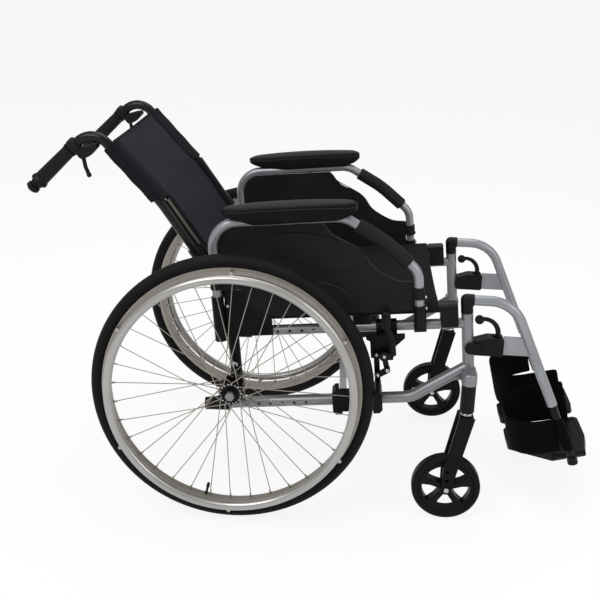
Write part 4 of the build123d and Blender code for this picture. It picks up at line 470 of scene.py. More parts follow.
class Bench:
    """Tools that make meshes and hand finished pieces to the frame."""

    @staticmethod
    def link(name: str, data: Any) -> Piece:
        """Puts a mesh, a light or a camera in the scene."""
        made = bpy.data.objects.new(name, data)
        bpy.context.scene.collection.objects.link(made)
        return made

    @staticmethod
    def skin(name: str, rings: Sequence[Ring], finish: Finish, closed: bool = False, capped: bool = False,
             uv: Callable[[int, int], Pair] | None = None) -> Piece:
        """Stretches smooth faces over rings of points.

        Args:
            name: the piece's name.
            rings: rows of points, all as long as each other.
            finish: the finish of the faces.
            closed: whether each row runs round on itself.
            capped: whether the first and last rows are filled.
            uv: cloth coordinates in metres for a row and a place in it.

        Returns:
            The new object.
        """
        bm = bmesh.new()
        layer = bm.loops.layers.uv.new("cloth") if uv else None
        grid = [[bm.verts.new(point) for point in ring] for ring in rings]
        width = len(rings[0])
        for row in range(len(rings) - 1):
            for col in range(width if closed else width - 1):
                corners = ((row, col), (row, col + 1), (row + 1, col + 1), (row + 1, col))
                face = bm.faces.new([grid[r][c % width] for r, c in corners])
                if layer:
                    for loop, corner in zip(face.loops, corners):
                        loop[layer].uv = uv(*corner)
        if capped:
            bm.faces.new(grid[0])
            bm.faces.new(grid[-1])
        bmesh.ops.remove_doubles(bm, verts=bm.verts, dist=1e-6)
        bmesh.ops.recalc_face_normals(bm, faces=bm.faces)
        mesh = bpy.data.meshes.new(name)
        bm.to_mesh(mesh)
        bm.free()
        for polygon in mesh.polygons:
            polygon.use_smooth = True
        mesh.materials.append(finish.material())
        return Bench.link(name, mesh)

    @staticmethod
    def settle(piece: Piece) -> Piece:
        """Makes a piece's modifiers part of its mesh.

        Args:
            piece: the object with modifiers.

        Returns:
            The same object with a plain mesh.
        """
        bpy.context.view_layer.update()
        state = bpy.context.evaluated_depsgraph_get()
        mesh = bpy.data.meshes.new_from_object(piece.evaluated_get(state), preserve_all_data_layers=True,
                                               depsgraph=state)
        piece.modifiers.clear()
        piece.data = mesh
        return piece

    @staticmethod
    def rounded(piece: Piece, levels: int) -> Piece:
        """Rounds a piece off by subdivision levels, and settles it."""
        smooth = piece.modifiers.new("round", "SUBSURF")
        smooth.levels = levels
        smooth.render_levels = levels
        return Bench.settle(piece)

    @staticmethod
    def thicken(piece: Piece, thickness: float) -> Piece:
        """Gives a sheet its thickness in metres and a smooth surface."""
        solid = piece.modifiers.new("thickness", "SOLIDIFY")
        solid.thickness = thickness
        solid.offset = 0.0
        return Bench.rounded(piece, 1)

    @staticmethod
    def tube(name: str, path: Sequence[Vector], radius: float, finish: Finish, sides: int) -> Piece:
        """Round tube along a smooth run of points.

        Args:
            name: the piece's name.
            path: points along the middle line.
            radius: tube radius in metres.
            finish: the finish of the tube.
            sides: faces round the tube.

        Returns:
            The new object.
        """
        rings: list[Ring] = []
        for index, point in enumerate(path):
            before = path[max(index - 1, 0)]
            after = path[min(index + 1, len(path) - 1)]
            aim = (after - before).normalized()
            side = aim.cross(across(1.0))
            side = side.normalized() if side.length > 1e-6 else Vector((1.0, 0.0, 0.0))
            over = aim.cross(side)
            rings.append([point + (side * math.cos(a) + over * math.sin(a)) * radius for a in around(sides)])
        return Bench.skin(name, rings, finish, closed=True, capped=True)

    @staticmethod
    def fit(piece: Piece, body: str, slot: str) -> None:
        """Lets a piece ride on a body, and reports it."""
        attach(piece, body)
        LOG.info("%s rides on %s", piece.name, body)


@dataclass(frozen=True)
class Form:
    """A small turned part.

    profile holds radius and height pairs from the base to the tip, in metres.
    """

    name: str
    sides: int
    finish: Finish
    profile: tuple[Pair, ...]
    capped: bool = True

    def turned(self, name: str, root: Vector, aim: Vector) -> Piece:
        """Makes the part.

        Args:
            name: the new object's name.
            root: where the part's base lies.
            aim: the way from its base to its tip.

        Returns:
            The new object.
        """
        side = across(1.0)
        over = side.cross(aim)
        rings = [[root + aim * height + (over * math.cos(a) + side * math.sin(a)) * radius
                  for a in around(self.sides)] for radius, height in self.profile]
        return Bench.skin(name, rings, self.finish, closed=True, capped=self.capped)


SOCKET_SCREW = Form("screw", 12, BRIGHT_STEEL, (
    (0.0040, -0.0006), (0.0040, 0.0012), (0.0033, 0.0022), (0.0019, 0.0027), (0.0018, 0.0012),
    (0.0006, 0.0010)))
PIN_CAP = Form("cap", 14, BRIGHT_STEEL, (
    (0.0045, -0.0004), (0.0045, 0.0006), (0.0036, 0.0014), (0.0016, 0.0019), (0.0004, 0.0020)))
NIPPLE = Form("nipple", 8, SPOKE_WIRE, (
    (0.0016, -0.0020), (0.0024, -0.0012), (0.0024, 0.0050), (0.0019, 0.0060), (0.0018, 0.0095),
    (0.0012, 0.0100)))
STITCH = Form("stitch", 5, THREAD, (
    (0.00012, -0.0015), (0.00034, -0.0010), (0.00042, 0.0), (0.00034, 0.0010), (0.00012, 0.0015)))
BUTTON = Form("button", 12, BRIGHT_STEEL, (
    (0.0035, -0.0010), (0.0035, 0.0012), (0.0030, 0.0024), (0.0018, 0.0032), (0.0004, 0.0035)))
VALVE = Form("valve", 12, MOULDED_BLACK, (
    (0.0032, 0.0), (0.0032, 0.006), (0.0026, 0.0065), (0.0026, 0.016), (0.0036, 0.0165), (0.0034, 0.026),
    (0.0022, 0.028)))
STEM_WASHER = Form("washer", 28, BRIGHT_STEEL, (
    (0.0110, 0.0006), (0.0134, 0.0006), (0.0134, 0.0030), (0.0126, 0.0062), (0.0110, 0.0074),
    (0.0110, 0.0006)), capped=False)


@dataclass
class Copies:
    """Geometry Nodes that set copies of one form, finish and scale on points or along a path."""

    name: str
    form: Form
    finish: Finish
    size: float = 1.0

    def on_points(self, places: Sequence[tuple[Vector, Vector]]) -> Piece:
        """Sets the form on each place.

        Args:
            places: a point and the way that the form faces there.

        Returns:
            One object with all the copies.
        """
        mesh = bpy.data.meshes.new(self.name)
        mesh.from_pydata([tuple(point) for point, _ in places], [], [])
        facing = mesh.attributes.new("facing", "FLOAT_VECTOR", "POINT")
        facing.data.foreach_set("vector", [value for _, aim in places for value in aim.normalized()])
        source = self.tree()
        points = source.graph.node("GeometryNodeMeshToPoints", {"Mesh": source})
        aim = source.graph.node("GeometryNodeInputNamedAttribute", {"Name": "facing"},
                                data_type="FLOAT_VECTOR")
        return self.grow(mesh, source, points, aim, 0.0)

    def along(self, path: Sequence[Vector], pitch: float) -> Piece:
        """Sets the form at even steps along a path.

        Args:
            path: points of the path.
            pitch: step in metres.

        Returns:
            One object with all the copies.
        """
        mesh = bpy.data.meshes.new(self.name)
        mesh.from_pydata([tuple(p) for p in path], [(k, k + 1) for k in range(len(path) - 1)], [])
        source = self.tree()
        curve = source.graph.node("GeometryNodeMeshToCurve", {"Mesh": source})
        steps = source.graph.node("GeometryNodeResampleCurve",
                                  {"Curve": curve, "Length": source.beside("Pitch")}, mode="LENGTH")
        return self.grow(mesh, source, steps, source.graph.node("GeometryNodeInputTangent"), pitch)

    def tree(self) -> Wire:
        """Starts a tree whose inputs are a mesh, a form, its size and a pitch."""
        tree = bpy.data.node_groups.new(self.name + "_copies", "GeometryNodeTree")
        kinds = {"Geometry": "Geometry", "Form": "Object", "Size": "Float", "Pitch": "Float"}
        for label, kind in kinds.items():
            tree.interface.new_socket(label, in_out="INPUT", socket_type=f"NodeSocket{kind}")
        tree.interface.new_socket("Geometry", in_out="OUTPUT", socket_type="NodeSocketGeometry")
        return Graph(tree).node("NodeGroupInput")

    def grow(self, mesh: bpy.types.Mesh, source: Wire, points: Wire, aim: Wire, pitch: float) -> Piece:
        """Instances the form on points, paints the copies and keeps them as a plain mesh."""
        graph = source.graph
        model = graph.node("GeometryNodeObjectInfo", {"Object": source.beside("Form")}, "Geometry")
        turn = graph.node("FunctionNodeAlignRotationToVector", {"Vector": aim}, axis="Z")
        copies = graph.node("GeometryNodeInstanceOnPoints", {
            "Points": points, "Instance": model, "Rotation": turn, "Scale": source.beside("Size"),
        })
        real = graph.node("GeometryNodeRealizeInstances", {0: copies})
        painted = graph.node("GeometryNodeSetMaterial",
                             {"Geometry": real, "Material": self.finish.material()})
        graph.node("NodeGroupOutput", {0: painted})
        form = self.form.turned(self.form.name, Vector(), UPWARDS)
        holder = Bench.link(self.name, mesh)
        grower = holder.modifiers.new("copies", "NODES")
        grower.node_group = graph.tree
        values = {"Form": form, "Size": self.size, "Pitch": pitch}
        for item in graph.tree.interface.items_tree:
            if item.in_out == "INPUT" and item.name in values:
                grower[item.identifier] = values[item.name]
        Bench.settle(holder)
        bpy.data.objects.remove(form)
        return holder

    @classmethod
    def stitches(cls, name: str, path: Sequence[Vector]) -> Piece:
        """A seam's stitches along a path."""
        return cls(name, STITCH, THREAD).along(path, STITCH_PITCH)


@dataclass
class Coats:
    """Gives every CAD node that stays in sight its finish."""

    finishes: tuple[tuple[str, Finish], ...] = (
        ("side_frame", FRAME_SILVER_SHADED), ("rear_bracket", BLACK_COAT), ("frame_fittings", MOULDED_BLACK),
        ("brake_body", BLACK_COAT), ("brake_lever", MOULDED_BLACK), ("brake_link", BLACK_COAT),
        ("brake_shoe", BLACK_COAT), ("tyre", TYRE_BLACK), ("rim", RIM_WARM), ("spokes", SPOKE_WIRE),
        ("hub", BLACK_COAT), ("handrim", HANDRIM_SILVER), ("caster_fork", BLACK_COAT),
        ("caster_wheel", CASTER_BLACK), ("legrest_hanger", FRAME_SILVER), ("legrest_fittings", MOULDED_BLACK),
        ("latch_lever", MOULDED_BLACK), ("foot_tube", DARK_TUBE), ("footplate", MOULDED_BLACK),
        ("armrest_tube", FRAME_SILVER), ("arm_grip", FOAM_BLACK), ("side_panel", PANEL_BLACK),
        ("back_cane", CANE_BLACK), ("push_grip", GRIP_RUBBER), ("release_lever", MOULDED_BLACK),
        ("lock_rod", ROD_STEEL), ("brace", BRACE_TWO_TONE),
    )

    def build(self) -> None:
        """Puts the finishes in all the material slots of the nodes on both sides."""
        for node, finish in self.finishes:
            for side, _ in SIDES:
                target = frame["nodes"][f"{node}_{side}"]
                if not target.material_slots:
                    target.data.materials.append(finish.material())
                for slot in target.material_slots:
                    slot.material = finish.material()


@dataclass
class SeatSling:
    """Seat cloth over both rails, with hems and stitches."""

    rear_s: float = 0.086
    middle_s: float = 0.3
    front_s: float = 0.472
    thickness: float = 0.003
    sag: float = 0.014
    fold: float = 0.0006
    pull: float = 0.0012
    gap: float = 0.0004
    hem_angle: float = math.radians(210)
    hem_width: float = 0.055
    hem_steps: int = 8
    steps: int = 40
    rows: int = 48

    def section(self, s: float) -> Ring:
        """Points across the cloth at one place along the seat, from one hem to the other."""
        radius = LAYOUT.rail_r + self.gap + self.thickness / 2
        share = (s - self.rear_s) / (self.front_s - self.rear_s)
        dip = self.sag * (0.8 + 0.35 * math.sin(math.pi * share))
        line: Ring = []
        for k in range(self.hem_steps + 1):
            angle = self.hem_angle - (self.hem_angle - math.pi / 2) * k / self.hem_steps
            line.append(LAYOUT.tilted(s, LAYOUT.rail_t + radius * math.sin(angle),
                                      -LAYOUT.frame_d + radius * math.cos(angle)))
        hem = line[:]
        for k in range(1, self.steps):
            u = k / self.steps
            fold = self.fold * math.sin(9 * math.pi * share + 5 * u) * math.sin(math.pi * u)
            pull = self.pull * math.exp(-30 * u * (1 - u)) * math.sin(26 * math.pi * share)
            line.append(LAYOUT.tilted(s, LAYOUT.rail_t + radius - dip * 4 * u * (1 - u) + fold + pull,
                                      -LAYOUT.frame_d + 2 * LAYOUT.frame_d * u))
        return line + [Vector((p.x, -p.y, p.z)) for p in reversed(hem)]

    def build(self) -> None:
        """Makes the cloth and its stitches and hangs them between the two rails."""
        step = (self.front_s - self.rear_s) / self.rows
        rings = [self.section(self.rear_s + step * k) for k in range(self.rows + 1)]
        width = 2 * LAYOUT.frame_d / self.steps
        sheet = Bench.skin("seat_cloth", rings, SEAT_CLOTH, uv=lambda r, c: (c * width, r * step))
        Bench.thicken(sheet, self.thickness)
        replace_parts(self.hang(sheet), "seat_sling")
        from_hem = self.hem_steps + 4
        seams = {f"seat_stitches_{index}": rings[row][self.hem_steps + 2:-self.hem_steps - 2]
                 for index, row in enumerate((1, self.rows - 1))}
        seams |= {f"seat_side_stitches_{index}": [ring[col] for ring in rings]
                  for index, col in enumerate((from_hem, -from_hem - 1))}
        lift = LAYOUT.up() * (self.thickness / 2 + STITCH_LIFT)
        for name, seam in seams.items():
            self.hang(Copies.stitches(name, [p + lift for p in seam]))

    def hang(self, piece: Piece) -> Piece:
        """Bakes the piece's placement into its mesh, and reports it."""
        start = LAYOUT.tilted(self.middle_s, LAYOUT.rail_t, -LAYOUT.frame_d)
        end = LAYOUT.tilted(self.middle_s, LAYOUT.rail_t, LAYOUT.frame_d)
        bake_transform(piece)
        LOG.info("%s hangs between the seat rails", piece.name)
        return piece


@dataclass
class BackSling:
    """Back cloth: sleeves on the upper canes, a slack panel between them and rolled sides below.

    Places along the canes are counted from the pivot. lower and upper are the lengths of a cane below and
    above its bend.
    """

    pivot_s: float = 0.053
    pivot_t: float = 0.433
    lean: float = math.radians(35.5)
    bend: float = math.radians(7.5)
    bend_half: float = 0.03
    lower: float = 0.297
    upper: float = 0.165
    top_gap: float = 0.006
    cane_r: float = 0.011
    thickness: float = 0.0028
    sag: float = 0.016
    low_start: float = 0.048
    low_edge: float = 0.188
    high_edge: float = 0.1925
    high_lift: float = 0.002
    folded_in: float = 0.265
    front: float = 0.0085
    sleeve_start: float = 0.013
    sleeve_gap: float = 0.0022
    ripple: float = 0.0004
    crease: float = 0.0012
    tug: float = 0.0015
    widen_start: float = 0.005
    widen_run: float = 0.012
    flap_start: float = 0.003
    flap_end: float = 0.005
    flap_gap: float = 0.0058
    flap_over: float = 0.0042
    flap_puff: float = 0.0022
    flap_low_cut: float = 0.017
    flap_high_cut: float = 0.010
    flap_w: float = 0.046
    flap_turn: float = math.radians(60)
    roll_start: float = 0.004
    roll_end: float = 0.010
    roll_lift: float = 0.0045
    roll_d: float = 0.1855
    roll_w: float = 0.0075
    roll_h: float = 0.0085
    hems: float = 0.005
    mean_width: float = 0.376
    sleeve_flat: Pair = (0.088, 0.146)
    flap_flat: Pair = (0.064, 0.157)

    def line(self, along: float) -> tuple[Vector, Vector]:
        """The canes' line in the middle plane.

        Args:
            along: distance from the pivot.

        Returns:
            The point and the way to the front of the canes.
        """
        base = LAYOUT.tilted(self.pivot_s, self.pivot_t, 0.0)
        first, second = (radial(math.pi / 2 + angle) for angle in (self.lean, self.lean + self.bend))
        past = along - self.lower
        point = base + first * min(along, self.lower) + second * max(past, 0.0)
        aim = first.lerp(second, clamp((past + self.bend_half) / (2 * self.bend_half))).normalized()
        return point, Vector((aim.z, 0.0, -aim.x))

    def stations(self, start: float, end: float, rows: int) -> Iterator[tuple[float, Station]]:
        """Even steps along the canes.

        Args:
            start: where the first row lies.
            end: where the last row lies.
            rows: number of steps.

        Yields:
            The share of the run, and a function that turns a rise to the front and a place across the chair
            into a point.
        """
        for row in range(rows + 1):
            share = row / rows
            point, front = self.line(start + (end - start) * share)
            yield share, lambda rise, y, p=point, f=front: p + f * rise + across(y)

    def sleeve(self, sign: int, name: str) -> Piece:
        """Cloth sleeve round one cane's upper part, a little loose behind the cane."""
        rows, turns, pitch = 26, 28, 0.0031
        start, end = self.lower + self.sleeve_start, self.lower + self.upper - self.top_gap
        rings: list[Ring] = []
        for share, at in self.stations(start, end, rows):
            ring: Ring = []
            for angle in around(turns):
                wave = 0.7 + 0.3 * math.sin(17 * share + 2 * math.sin(angle))
                radius = self.cane_r + self.sleeve_gap * (1 + max(0.0, -math.cos(angle)) * wave)
                radius += self.ripple * math.sin(23 * share * math.pi + 3 * angle)
                ring.append(at(radius * math.cos(angle), sign * (LAYOUT.frame_d + radius * math.sin(angle))))
            rings.append(ring)
        step = (end - start) / rows
        sleeve = Bench.skin(name, rings, SLEEVE_CLOTH, closed=True, uv=lambda r, c: (c * pitch, r * step))
        return Bench.thicken(sleeve, self.thickness)

    def panel(self) -> tuple[Piece, list[Ring]]:
        """The cloth between the canes, wide at the top and narrower below the sleeves.

        Returns:
            The panel and the rows of points that it was stretched over.
        """
        rows, cols, pitch = 60, 36, 0.0114
        start, end = self.low_start, self.lower + self.upper - self.top_gap
        rings: list[Ring] = []
        for share, at in self.stations(start, end, rows):
            grow = clamp((start + (end - start) * share - self.lower - self.widen_start) / self.widen_run)
            half = self.low_edge + (self.high_edge - self.low_edge) * grow
            ring: Ring = []
            for col in range(cols + 1):
                u = 2 * col / cols - 1
                slack = self.sag * (1 - u * u) * (0.75 + 0.25 * math.sin(math.pi * share))
                crease = self.crease * (1 - u * u) * math.sin(5.3 * math.pi * share + 2.1 * u)
                tug = self.tug * math.exp(-6 * (1 - abs(u))) * math.sin(31 * share)
                ring.append(at(self.front + self.high_lift * grow - slack + crease + tug, half * u))
            rings.append(ring)
        step = (end - start) / rows
        sheet = Bench.skin("back_cloth", rings, BACK_CLOTH, uv=lambda r, c: (c * pitch, r * step))
        return Bench.thicken(sheet, self.thickness), rings

    def flap(self, sign: int, name: str) -> Piece:
        """Front flap of one sleeve: from the cane's outer side over its front and onto the panel."""
        rows, turns, run, pitch = 30, 10, 12, 0.0036
        start, end = self.lower + self.flap_start, self.lower + self.upper - self.flap_end
        rings: list[Ring] = []
        for share, at in self.stations(start, end, rows):
            radius = self.cane_r + self.flap_gap + self.ripple * math.sin(19 * share + 1.0)
            low_cut = self.flap_low_cut * max(0.0, 1 - share / 0.16) ** 2
            width = self.flap_w - low_cut - self.flap_high_cut * max(0.0, (share - 0.9) / 0.1) ** 2
            ring: Ring = []
            for k in range(turns + 1):
                angle = self.flap_turn * (1 - k / turns)
                close = radius - 0.001 * (1 - k / turns)
                ring.append(at(close * math.cos(angle), sign * (LAYOUT.frame_d + close * math.sin(angle))))
            for k in range(1, run + 1):
                y = LAYOUT.frame_d - width * k / run
                u = y / (LAYOUT.frame_d - 0.002)
                rest = self.front + self.high_lift - self.sag * (1 - u * u) * 0.95 + self.flap_over
                puff = self.flap_puff * math.sin(math.pi * k / run) * (1 + 0.4 * math.sin(13 * share))
                lift = rest + puff + (radius - rest) * max(0.0, 1 - k / (run * 0.55)) ** 2
                ring.append(at(lift, sign * y))
            rings.append(ring)
        step = (end - start) / rows
        flap = Bench.skin(name, rings, SLEEVE_CLOTH, uv=lambda r, c: (c * pitch, r * step))
        return Bench.thicken(flap, self.thickness)

    def rolled_side(self, sign: int, name: str) -> Piece:
        """Thick rolled side of the lower panel, beside the lock rod."""
        rows, turns, pitch = 34, 14, 0.0034
        start, end = self.low_start + self.roll_start, self.lower + self.roll_end
        rings: list[Ring] = []
        for share, at in self.stations(start, end, rows):
            swell = 0.55 + 0.45 * min(1.0, 12 * min(share, 1 - share)) + 0.05 * math.sin(21 * share)
            rings.append([at(self.front + self.roll_lift + self.roll_h * swell * math.sin(a),
                             sign * (self.roll_d + self.roll_w * math.cos(a))) for a in around(turns)])
        step = (end - start) / rows
        return Bench.skin(name, rings, SLEEVE_CLOTH, closed=True, capped=True,
                          uv=lambda r, c: (c * pitch, r * step))

    def build(self) -> None:
        """Makes the cloth, its sleeves, hems and stitches, and sets them on the two sides of the back."""
        sheet, rings = self.panel()
        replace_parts(sheet, "back_sling")
        makers = (("sleeve", self.sleeve), ("flap", self.flap), ("roll", self.rolled_side))
        for side, sign in SIDES:
            for name, maker in makers:
                Bench.fit(maker(sign, f"back_{name}_{side}"), f"back_{side}", "back_cloth")
        pieces = [sheet]
        for name, row, radius in (("top", -1, 0.0028), ("low", 0, 0.0024)):
            pieces.append(Bench.tube(f"back_hem_{name}", rings[row], radius, SLEEVE_CLOTH, 8))
        lift = self.line(self.lower)[1] * (self.thickness / 2 + STITCH_LIFT)
        for (side, _), col in zip(SIDES, (2, -3)):
            seam = Copies.stitches(f"back_stitches_{side}", [ring[col] + lift for ring in rings[2:-2]])
            Bench.fit(seam, f"back_{side}", "back_cloth")
        for index, row in enumerate((1, -2)):
            path = [p + lift for p in rings[row][3:-3]]
            pieces.append(Copies.stitches(f"back_cross_stitches_{index}", path))
        for piece in pieces:
            Bench.fit(piece, "back_right", "back_cloth")
            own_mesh(piece)


@dataclass
class ArmPads:
    """Armrest pads with a soft crown, lips over the tube, a seam line on each side and a blunt nose."""

    rear_s: float = 0.036
    length: float = 0.278
    inner_d: float = 0.221
    width: float = 0.046
    height: float = 0.0325
    blunt: float = 0.022
    crown_drop: float = 0.006
    rear_bevel: float = 0.034
    rear_lift: float = 0.013
    rear_drop: float = 0.0045
    rear_fade: float = 0.03
    nose_bevel: float = 0.016
    nose_lift: float = 0.010
    nose_drop: float = 0.0055
    nose_fade: float = 0.02
    lip: float = 0.0128
    lip_taper: float = 0.22
    inner_start: float = 0.18
    inner_run: float = 0.15
    seams: tuple[tuple[str, int], ...] = (("outer", 13), ("inner", 5))
    seam_r: float = 0.0006

    def ring(self, share: float, sign: int) -> Ring:
        """Section of the pad at a share of its length."""
        rear, nose = self.length * share, self.length * (1 - share)
        blunt = min(1.0, min(rear, nose) / self.blunt)
        half = self.width / 2 * max(0.12, math.sqrt(1 - (1 - blunt) ** 2))
        lift = self.rear_lift * max(0.0, 1 - rear / self.rear_bevel)
        lift += self.nose_lift * max(0.0, 1 - nose / self.nose_bevel)
        drop = self.crown_drop * (2 * share - 1) ** 2
        drop += self.rear_drop * max(0.0, 1 - rear / self.rear_fade) ** 2
        drop += self.nose_drop * max(0.0, 1 - nose / self.blunt) ** 2
        ends = min(clamp((rear - self.rear_bevel) / self.rear_fade),
                   clamp((nose - self.nose_bevel) / self.nose_fade))
        lip = self.lip * ends * (1 - self.lip_taper * share)
        inner = clamp((share - self.inner_start) / self.inner_run) * ends
        outline = ((-0.93, 0.0), (-0.95 - 0.02 * inner, -0.6 * inner), (-0.97 - 0.2 * inner, -0.6 * inner),
                   (-0.98 - 0.16 * inner, 0.02), (-1.0 - 0.07 * inner, 0.36), (-0.99 - 0.01 * inner, 0.60),
                   (-0.91, 0.80), (-0.74, 0.93), (-0.42, 0.988), (0.0, 1.0), (0.42, 0.988), (0.74, 0.93),
                   (0.91, 0.80), (0.985, 0.60), (1.0, 0.30), (0.985, 0.0), (0.90, -1.0), (0.28, -1.0),
                   (0.26, 0.0), (0.0, 0.0))
        middle = self.inner_d + self.width / 2
        rise = self.height - drop - lift
        return [LAYOUT.tilted(self.rear_s + rear, LAYOUT.pad_t + lift + (rise if up > 0 else lip) * up,
                              sign * (middle + half * wide)) for wide, up in outline]

    def build(self) -> None:
        """Makes both pads and their seam lines."""
        shares = [0.0, 0.006, 0.018, 0.035, 0.06] + [0.1 + 0.8 * k / 20 for k in range(21)]
        shares += [0.94, 0.965, 0.982, 0.994, 1.0]
        for side, sign in SIDES:
            rings = [self.ring(share, sign) for share in shares]
            pad = Bench.skin(f"arm_cushion_{side}", rings, PAD_SKIN, closed=True, capped=True)
            Bench.rounded(pad, 2)
            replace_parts(pad, f"arm_pad_{side}")
            Bench.fit(pad, f"armrest_{side}", "pad_skin")
            for name, place in self.seams:
                path = [ring[place] for ring in rings[2:-2]]
                seam = Bench.tube(f"pad_seam_{name}_{side}", path, self.seam_r, PIPING_AND_HIGHLIGHT, 6)
                Bench.fit(seam, f"armrest_{side}", "pad_skin")


@dataclass
class HeelStraps:
    """Heel straps: webbing from the footplate's tongue round to the foot tube, with a sewn loop there.

    u, v and w run along the footplate's hinge, inwards from it and up from the plate.
    """

    hinge_inboard: float = 0.025
    tilt: float = math.radians(14)
    lean: float = math.radians(24)
    low: float = 0.0255
    width: float = 0.079
    thickness: float = 0.0024
    back: float = 0.124
    bend: float = 0.070
    bend_steps: int = 12
    tongue_u: float = 0.026
    tongue_step: float = 0.02
    inner_v: float = 0.1475
    tube_r: float = 0.0085
    clearance: float = 0.002
    loop_r: float = 0.0102
    loop_pitch: float = 0.0031
    sag: float = 0.018
    belly: float = 0.004
    held_w: float = 0.05
    steps: int = 10
    turns: int = 20

    def place(self, u: float, v: float, w: float, sign: int) -> Vector:
        """A point of the footplate's own directions."""
        joint = next(j for j in frame["joints"] if j["name"] == "footplate_flip_right")
        hinge = Vector(joint["pos_m"])
        x = hinge.x + u * math.cos(self.tilt) - w * math.sin(self.tilt)
        z = hinge.z + u * math.sin(self.tilt) + w * math.cos(self.tilt)
        return Vector((x, sign * (LAYOUT.frame_d - self.hinge_inboard - v), z))

    def path(self) -> list[Pair]:
        """The strap's middle line from the tongue to the tube, in the footplate's plane."""
        outer = -self.hinge_inboard
        line = [(self.tongue_u - self.tongue_step * k, self.inner_v) for k in range(5)]
        corner = -self.back + self.bend
        for middle, start in ((self.inner_v - self.bend, math.pi / 2), (outer + self.bend, math.pi)):
            for k in range(self.bend_steps + 1):
                angle = start + math.pi / 2 * k / self.bend_steps
                line.append((corner + self.bend * math.cos(angle), middle + self.bend * math.sin(angle)))
        end = -(self.low + self.width / 2) * math.tan(self.lean - self.tilt) - self.tube_r - self.clearance
        return line + [(corner + (end - corner) * k / 5, outer) for k in range(1, 6)]

    def build(self) -> None:
        """Makes both straps between the footplate and the leg, with their loops."""
        line = self.path()
        runs = [0.0]
        for before, after in zip(line, line[1:]):
            runs.append(runs[-1] + math.dist(before, after))
        levels = [k / self.steps for k in range(self.steps + 1)]
        for side, sign in SIDES:
            rings: list[Ring] = []
            for index, (u, v) in enumerate(line):
                share = index / (len(line) - 1)
                belly = self.belly * math.sin(math.pi * share) + self.sag * (1 - share) ** 2
                rings.append([self.place(u, v, self.low + self.width * level - belly * (1 - level), sign)
                              for level in levels])
            strap = Bench.skin(f"heel_webbing_{side}", rings, STRAP_BLACK,
                               uv=lambda r, c: (runs[r], c * self.width / self.steps))
            Bench.thicken(strap, self.thickness)
            start = self.place(0.0, self.inner_v, self.held_w, sign)
            end = self.place(0.0, -self.hinge_inboard, self.held_w, sign)
            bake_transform(strap)
            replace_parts(strap, f"heel_strap_{side}")
            self.loop(side, sign)
            LOG.info("heel_webbing_%s stretches from the footplate to the leg", side)

    def loop(self, side: str, sign: int) -> None:
        """Sewn loop of the webbing round the foot tube."""
        slant = math.tan(self.lean - self.tilt)
        rings: list[Ring] = []
        for k in range(self.steps + 1):
            w = self.low + self.width * k / self.steps
            rings.append([self.place(-w * slant + self.loop_r * math.cos(a),
                                     -self.hinge_inboard + self.loop_r * math.sin(a), w, sign)
                          for a in around(self.turns)])
        loop = Bench.skin(f"heel_loop_{side}", rings, STRAP_BLACK, closed=True,
                          uv=lambda r, c: (c * self.loop_pitch, r * self.width / self.steps))
        Bench.thicken(loop, self.thickness)
        Bench.fit(loop, f"legrest_{side}", "black_webbing")


@dataclass
class WheelTrim:
    """Spoke nipples, spoke heads and the valve on both push wheels, and caps and a washer on each caster."""

    spokes: int = 36
    valve_angle: float = math.radians(258)
    stem_x: float = 0.50017
    fork_z: float = 0.24832
    head_r: float = 0.0215
    head_d: float = 0.3102
    head_size: float = 0.42
    cap_size: float = 1.3
    cap_sunk: float = 0.0005

    def build(self) -> None:
        """Makes the trim of both wheels and both casters."""
        axle = LAYOUT.axle()
        count = self.spokes // 2
        out = radial(self.valve_angle)
        for side, sign in SIDES:
            rim = axle + across(sign * LAYOUT.wheel_d)
            nipples = [(rim + radial(a) * LAYOUT.rim_inner_r, -radial(a)) for a in around(self.spokes)]
            flange = axle + across(sign * self.head_d)
            heads = [(flange + radial(a + math.pi / 2 / count) * self.head_r, across(sign))
                     for a in around(count)]
            low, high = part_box(f"caster_fork_{side}")
            hub = LAYOUT.middle(f"caster_wheel_{side}")
            ends = [(hub + across(low[1] + self.cap_sunk), across(-1.0)),
                    (hub + across(high[1] - self.cap_sunk), across(1.0))]
            stem = Vector((self.stem_x + axle.x, sign * LAYOUT.caster_d, self.fork_z))
            for made, body, slot in (
                (Copies(f"spoke_nipples_{side}", NIPPLE, SPOKE_WIRE).on_points(nipples),
                 "wheel", "spoke_steel"),
                (Copies(f"spoke_heads_{side}", PIN_CAP, BRIGHT_STEEL, self.head_size).on_points(heads),
                 "wheel", "spoke_steel"),
                (VALVE.turned(f"valve_{side}", rim + out * LAYOUT.rim_inner_r, -out),
                 "wheel", "black_plastic"),
                (Copies(f"caster_nuts_{side}", PIN_CAP, BRIGHT_STEEL, self.cap_size).on_points(ends),
                 "caster_swivel", "bright_steel"),
                (STEM_WASHER.turned(f"stem_washer_{side}", stem, UPWARDS), "caster_swivel", "bright_steel"),
            ):
                Bench.fit(made, f"{body}_{side}", slot)


class Facing(Enum):
    """The way that a fastener's head faces."""

    OUT = "out from the chair's middle"
    AHEAD = "along the sloping tubes"
    DOWN = "down across the sloping tubes"


@dataclass(frozen=True)
class Fixing:
    """One kind of fastener.

    places hold distances along and across the sloping tubes and out from the middle plane, in metres.
    """

    name: str
    form: Form
    body: str
    places: tuple[tuple[float, float, float], ...]
    size: float = 1.0
    facing: Facing = Facing.OUT
    finish: Finish = BRIGHT_STEEL
    slot: str = "bright_steel"


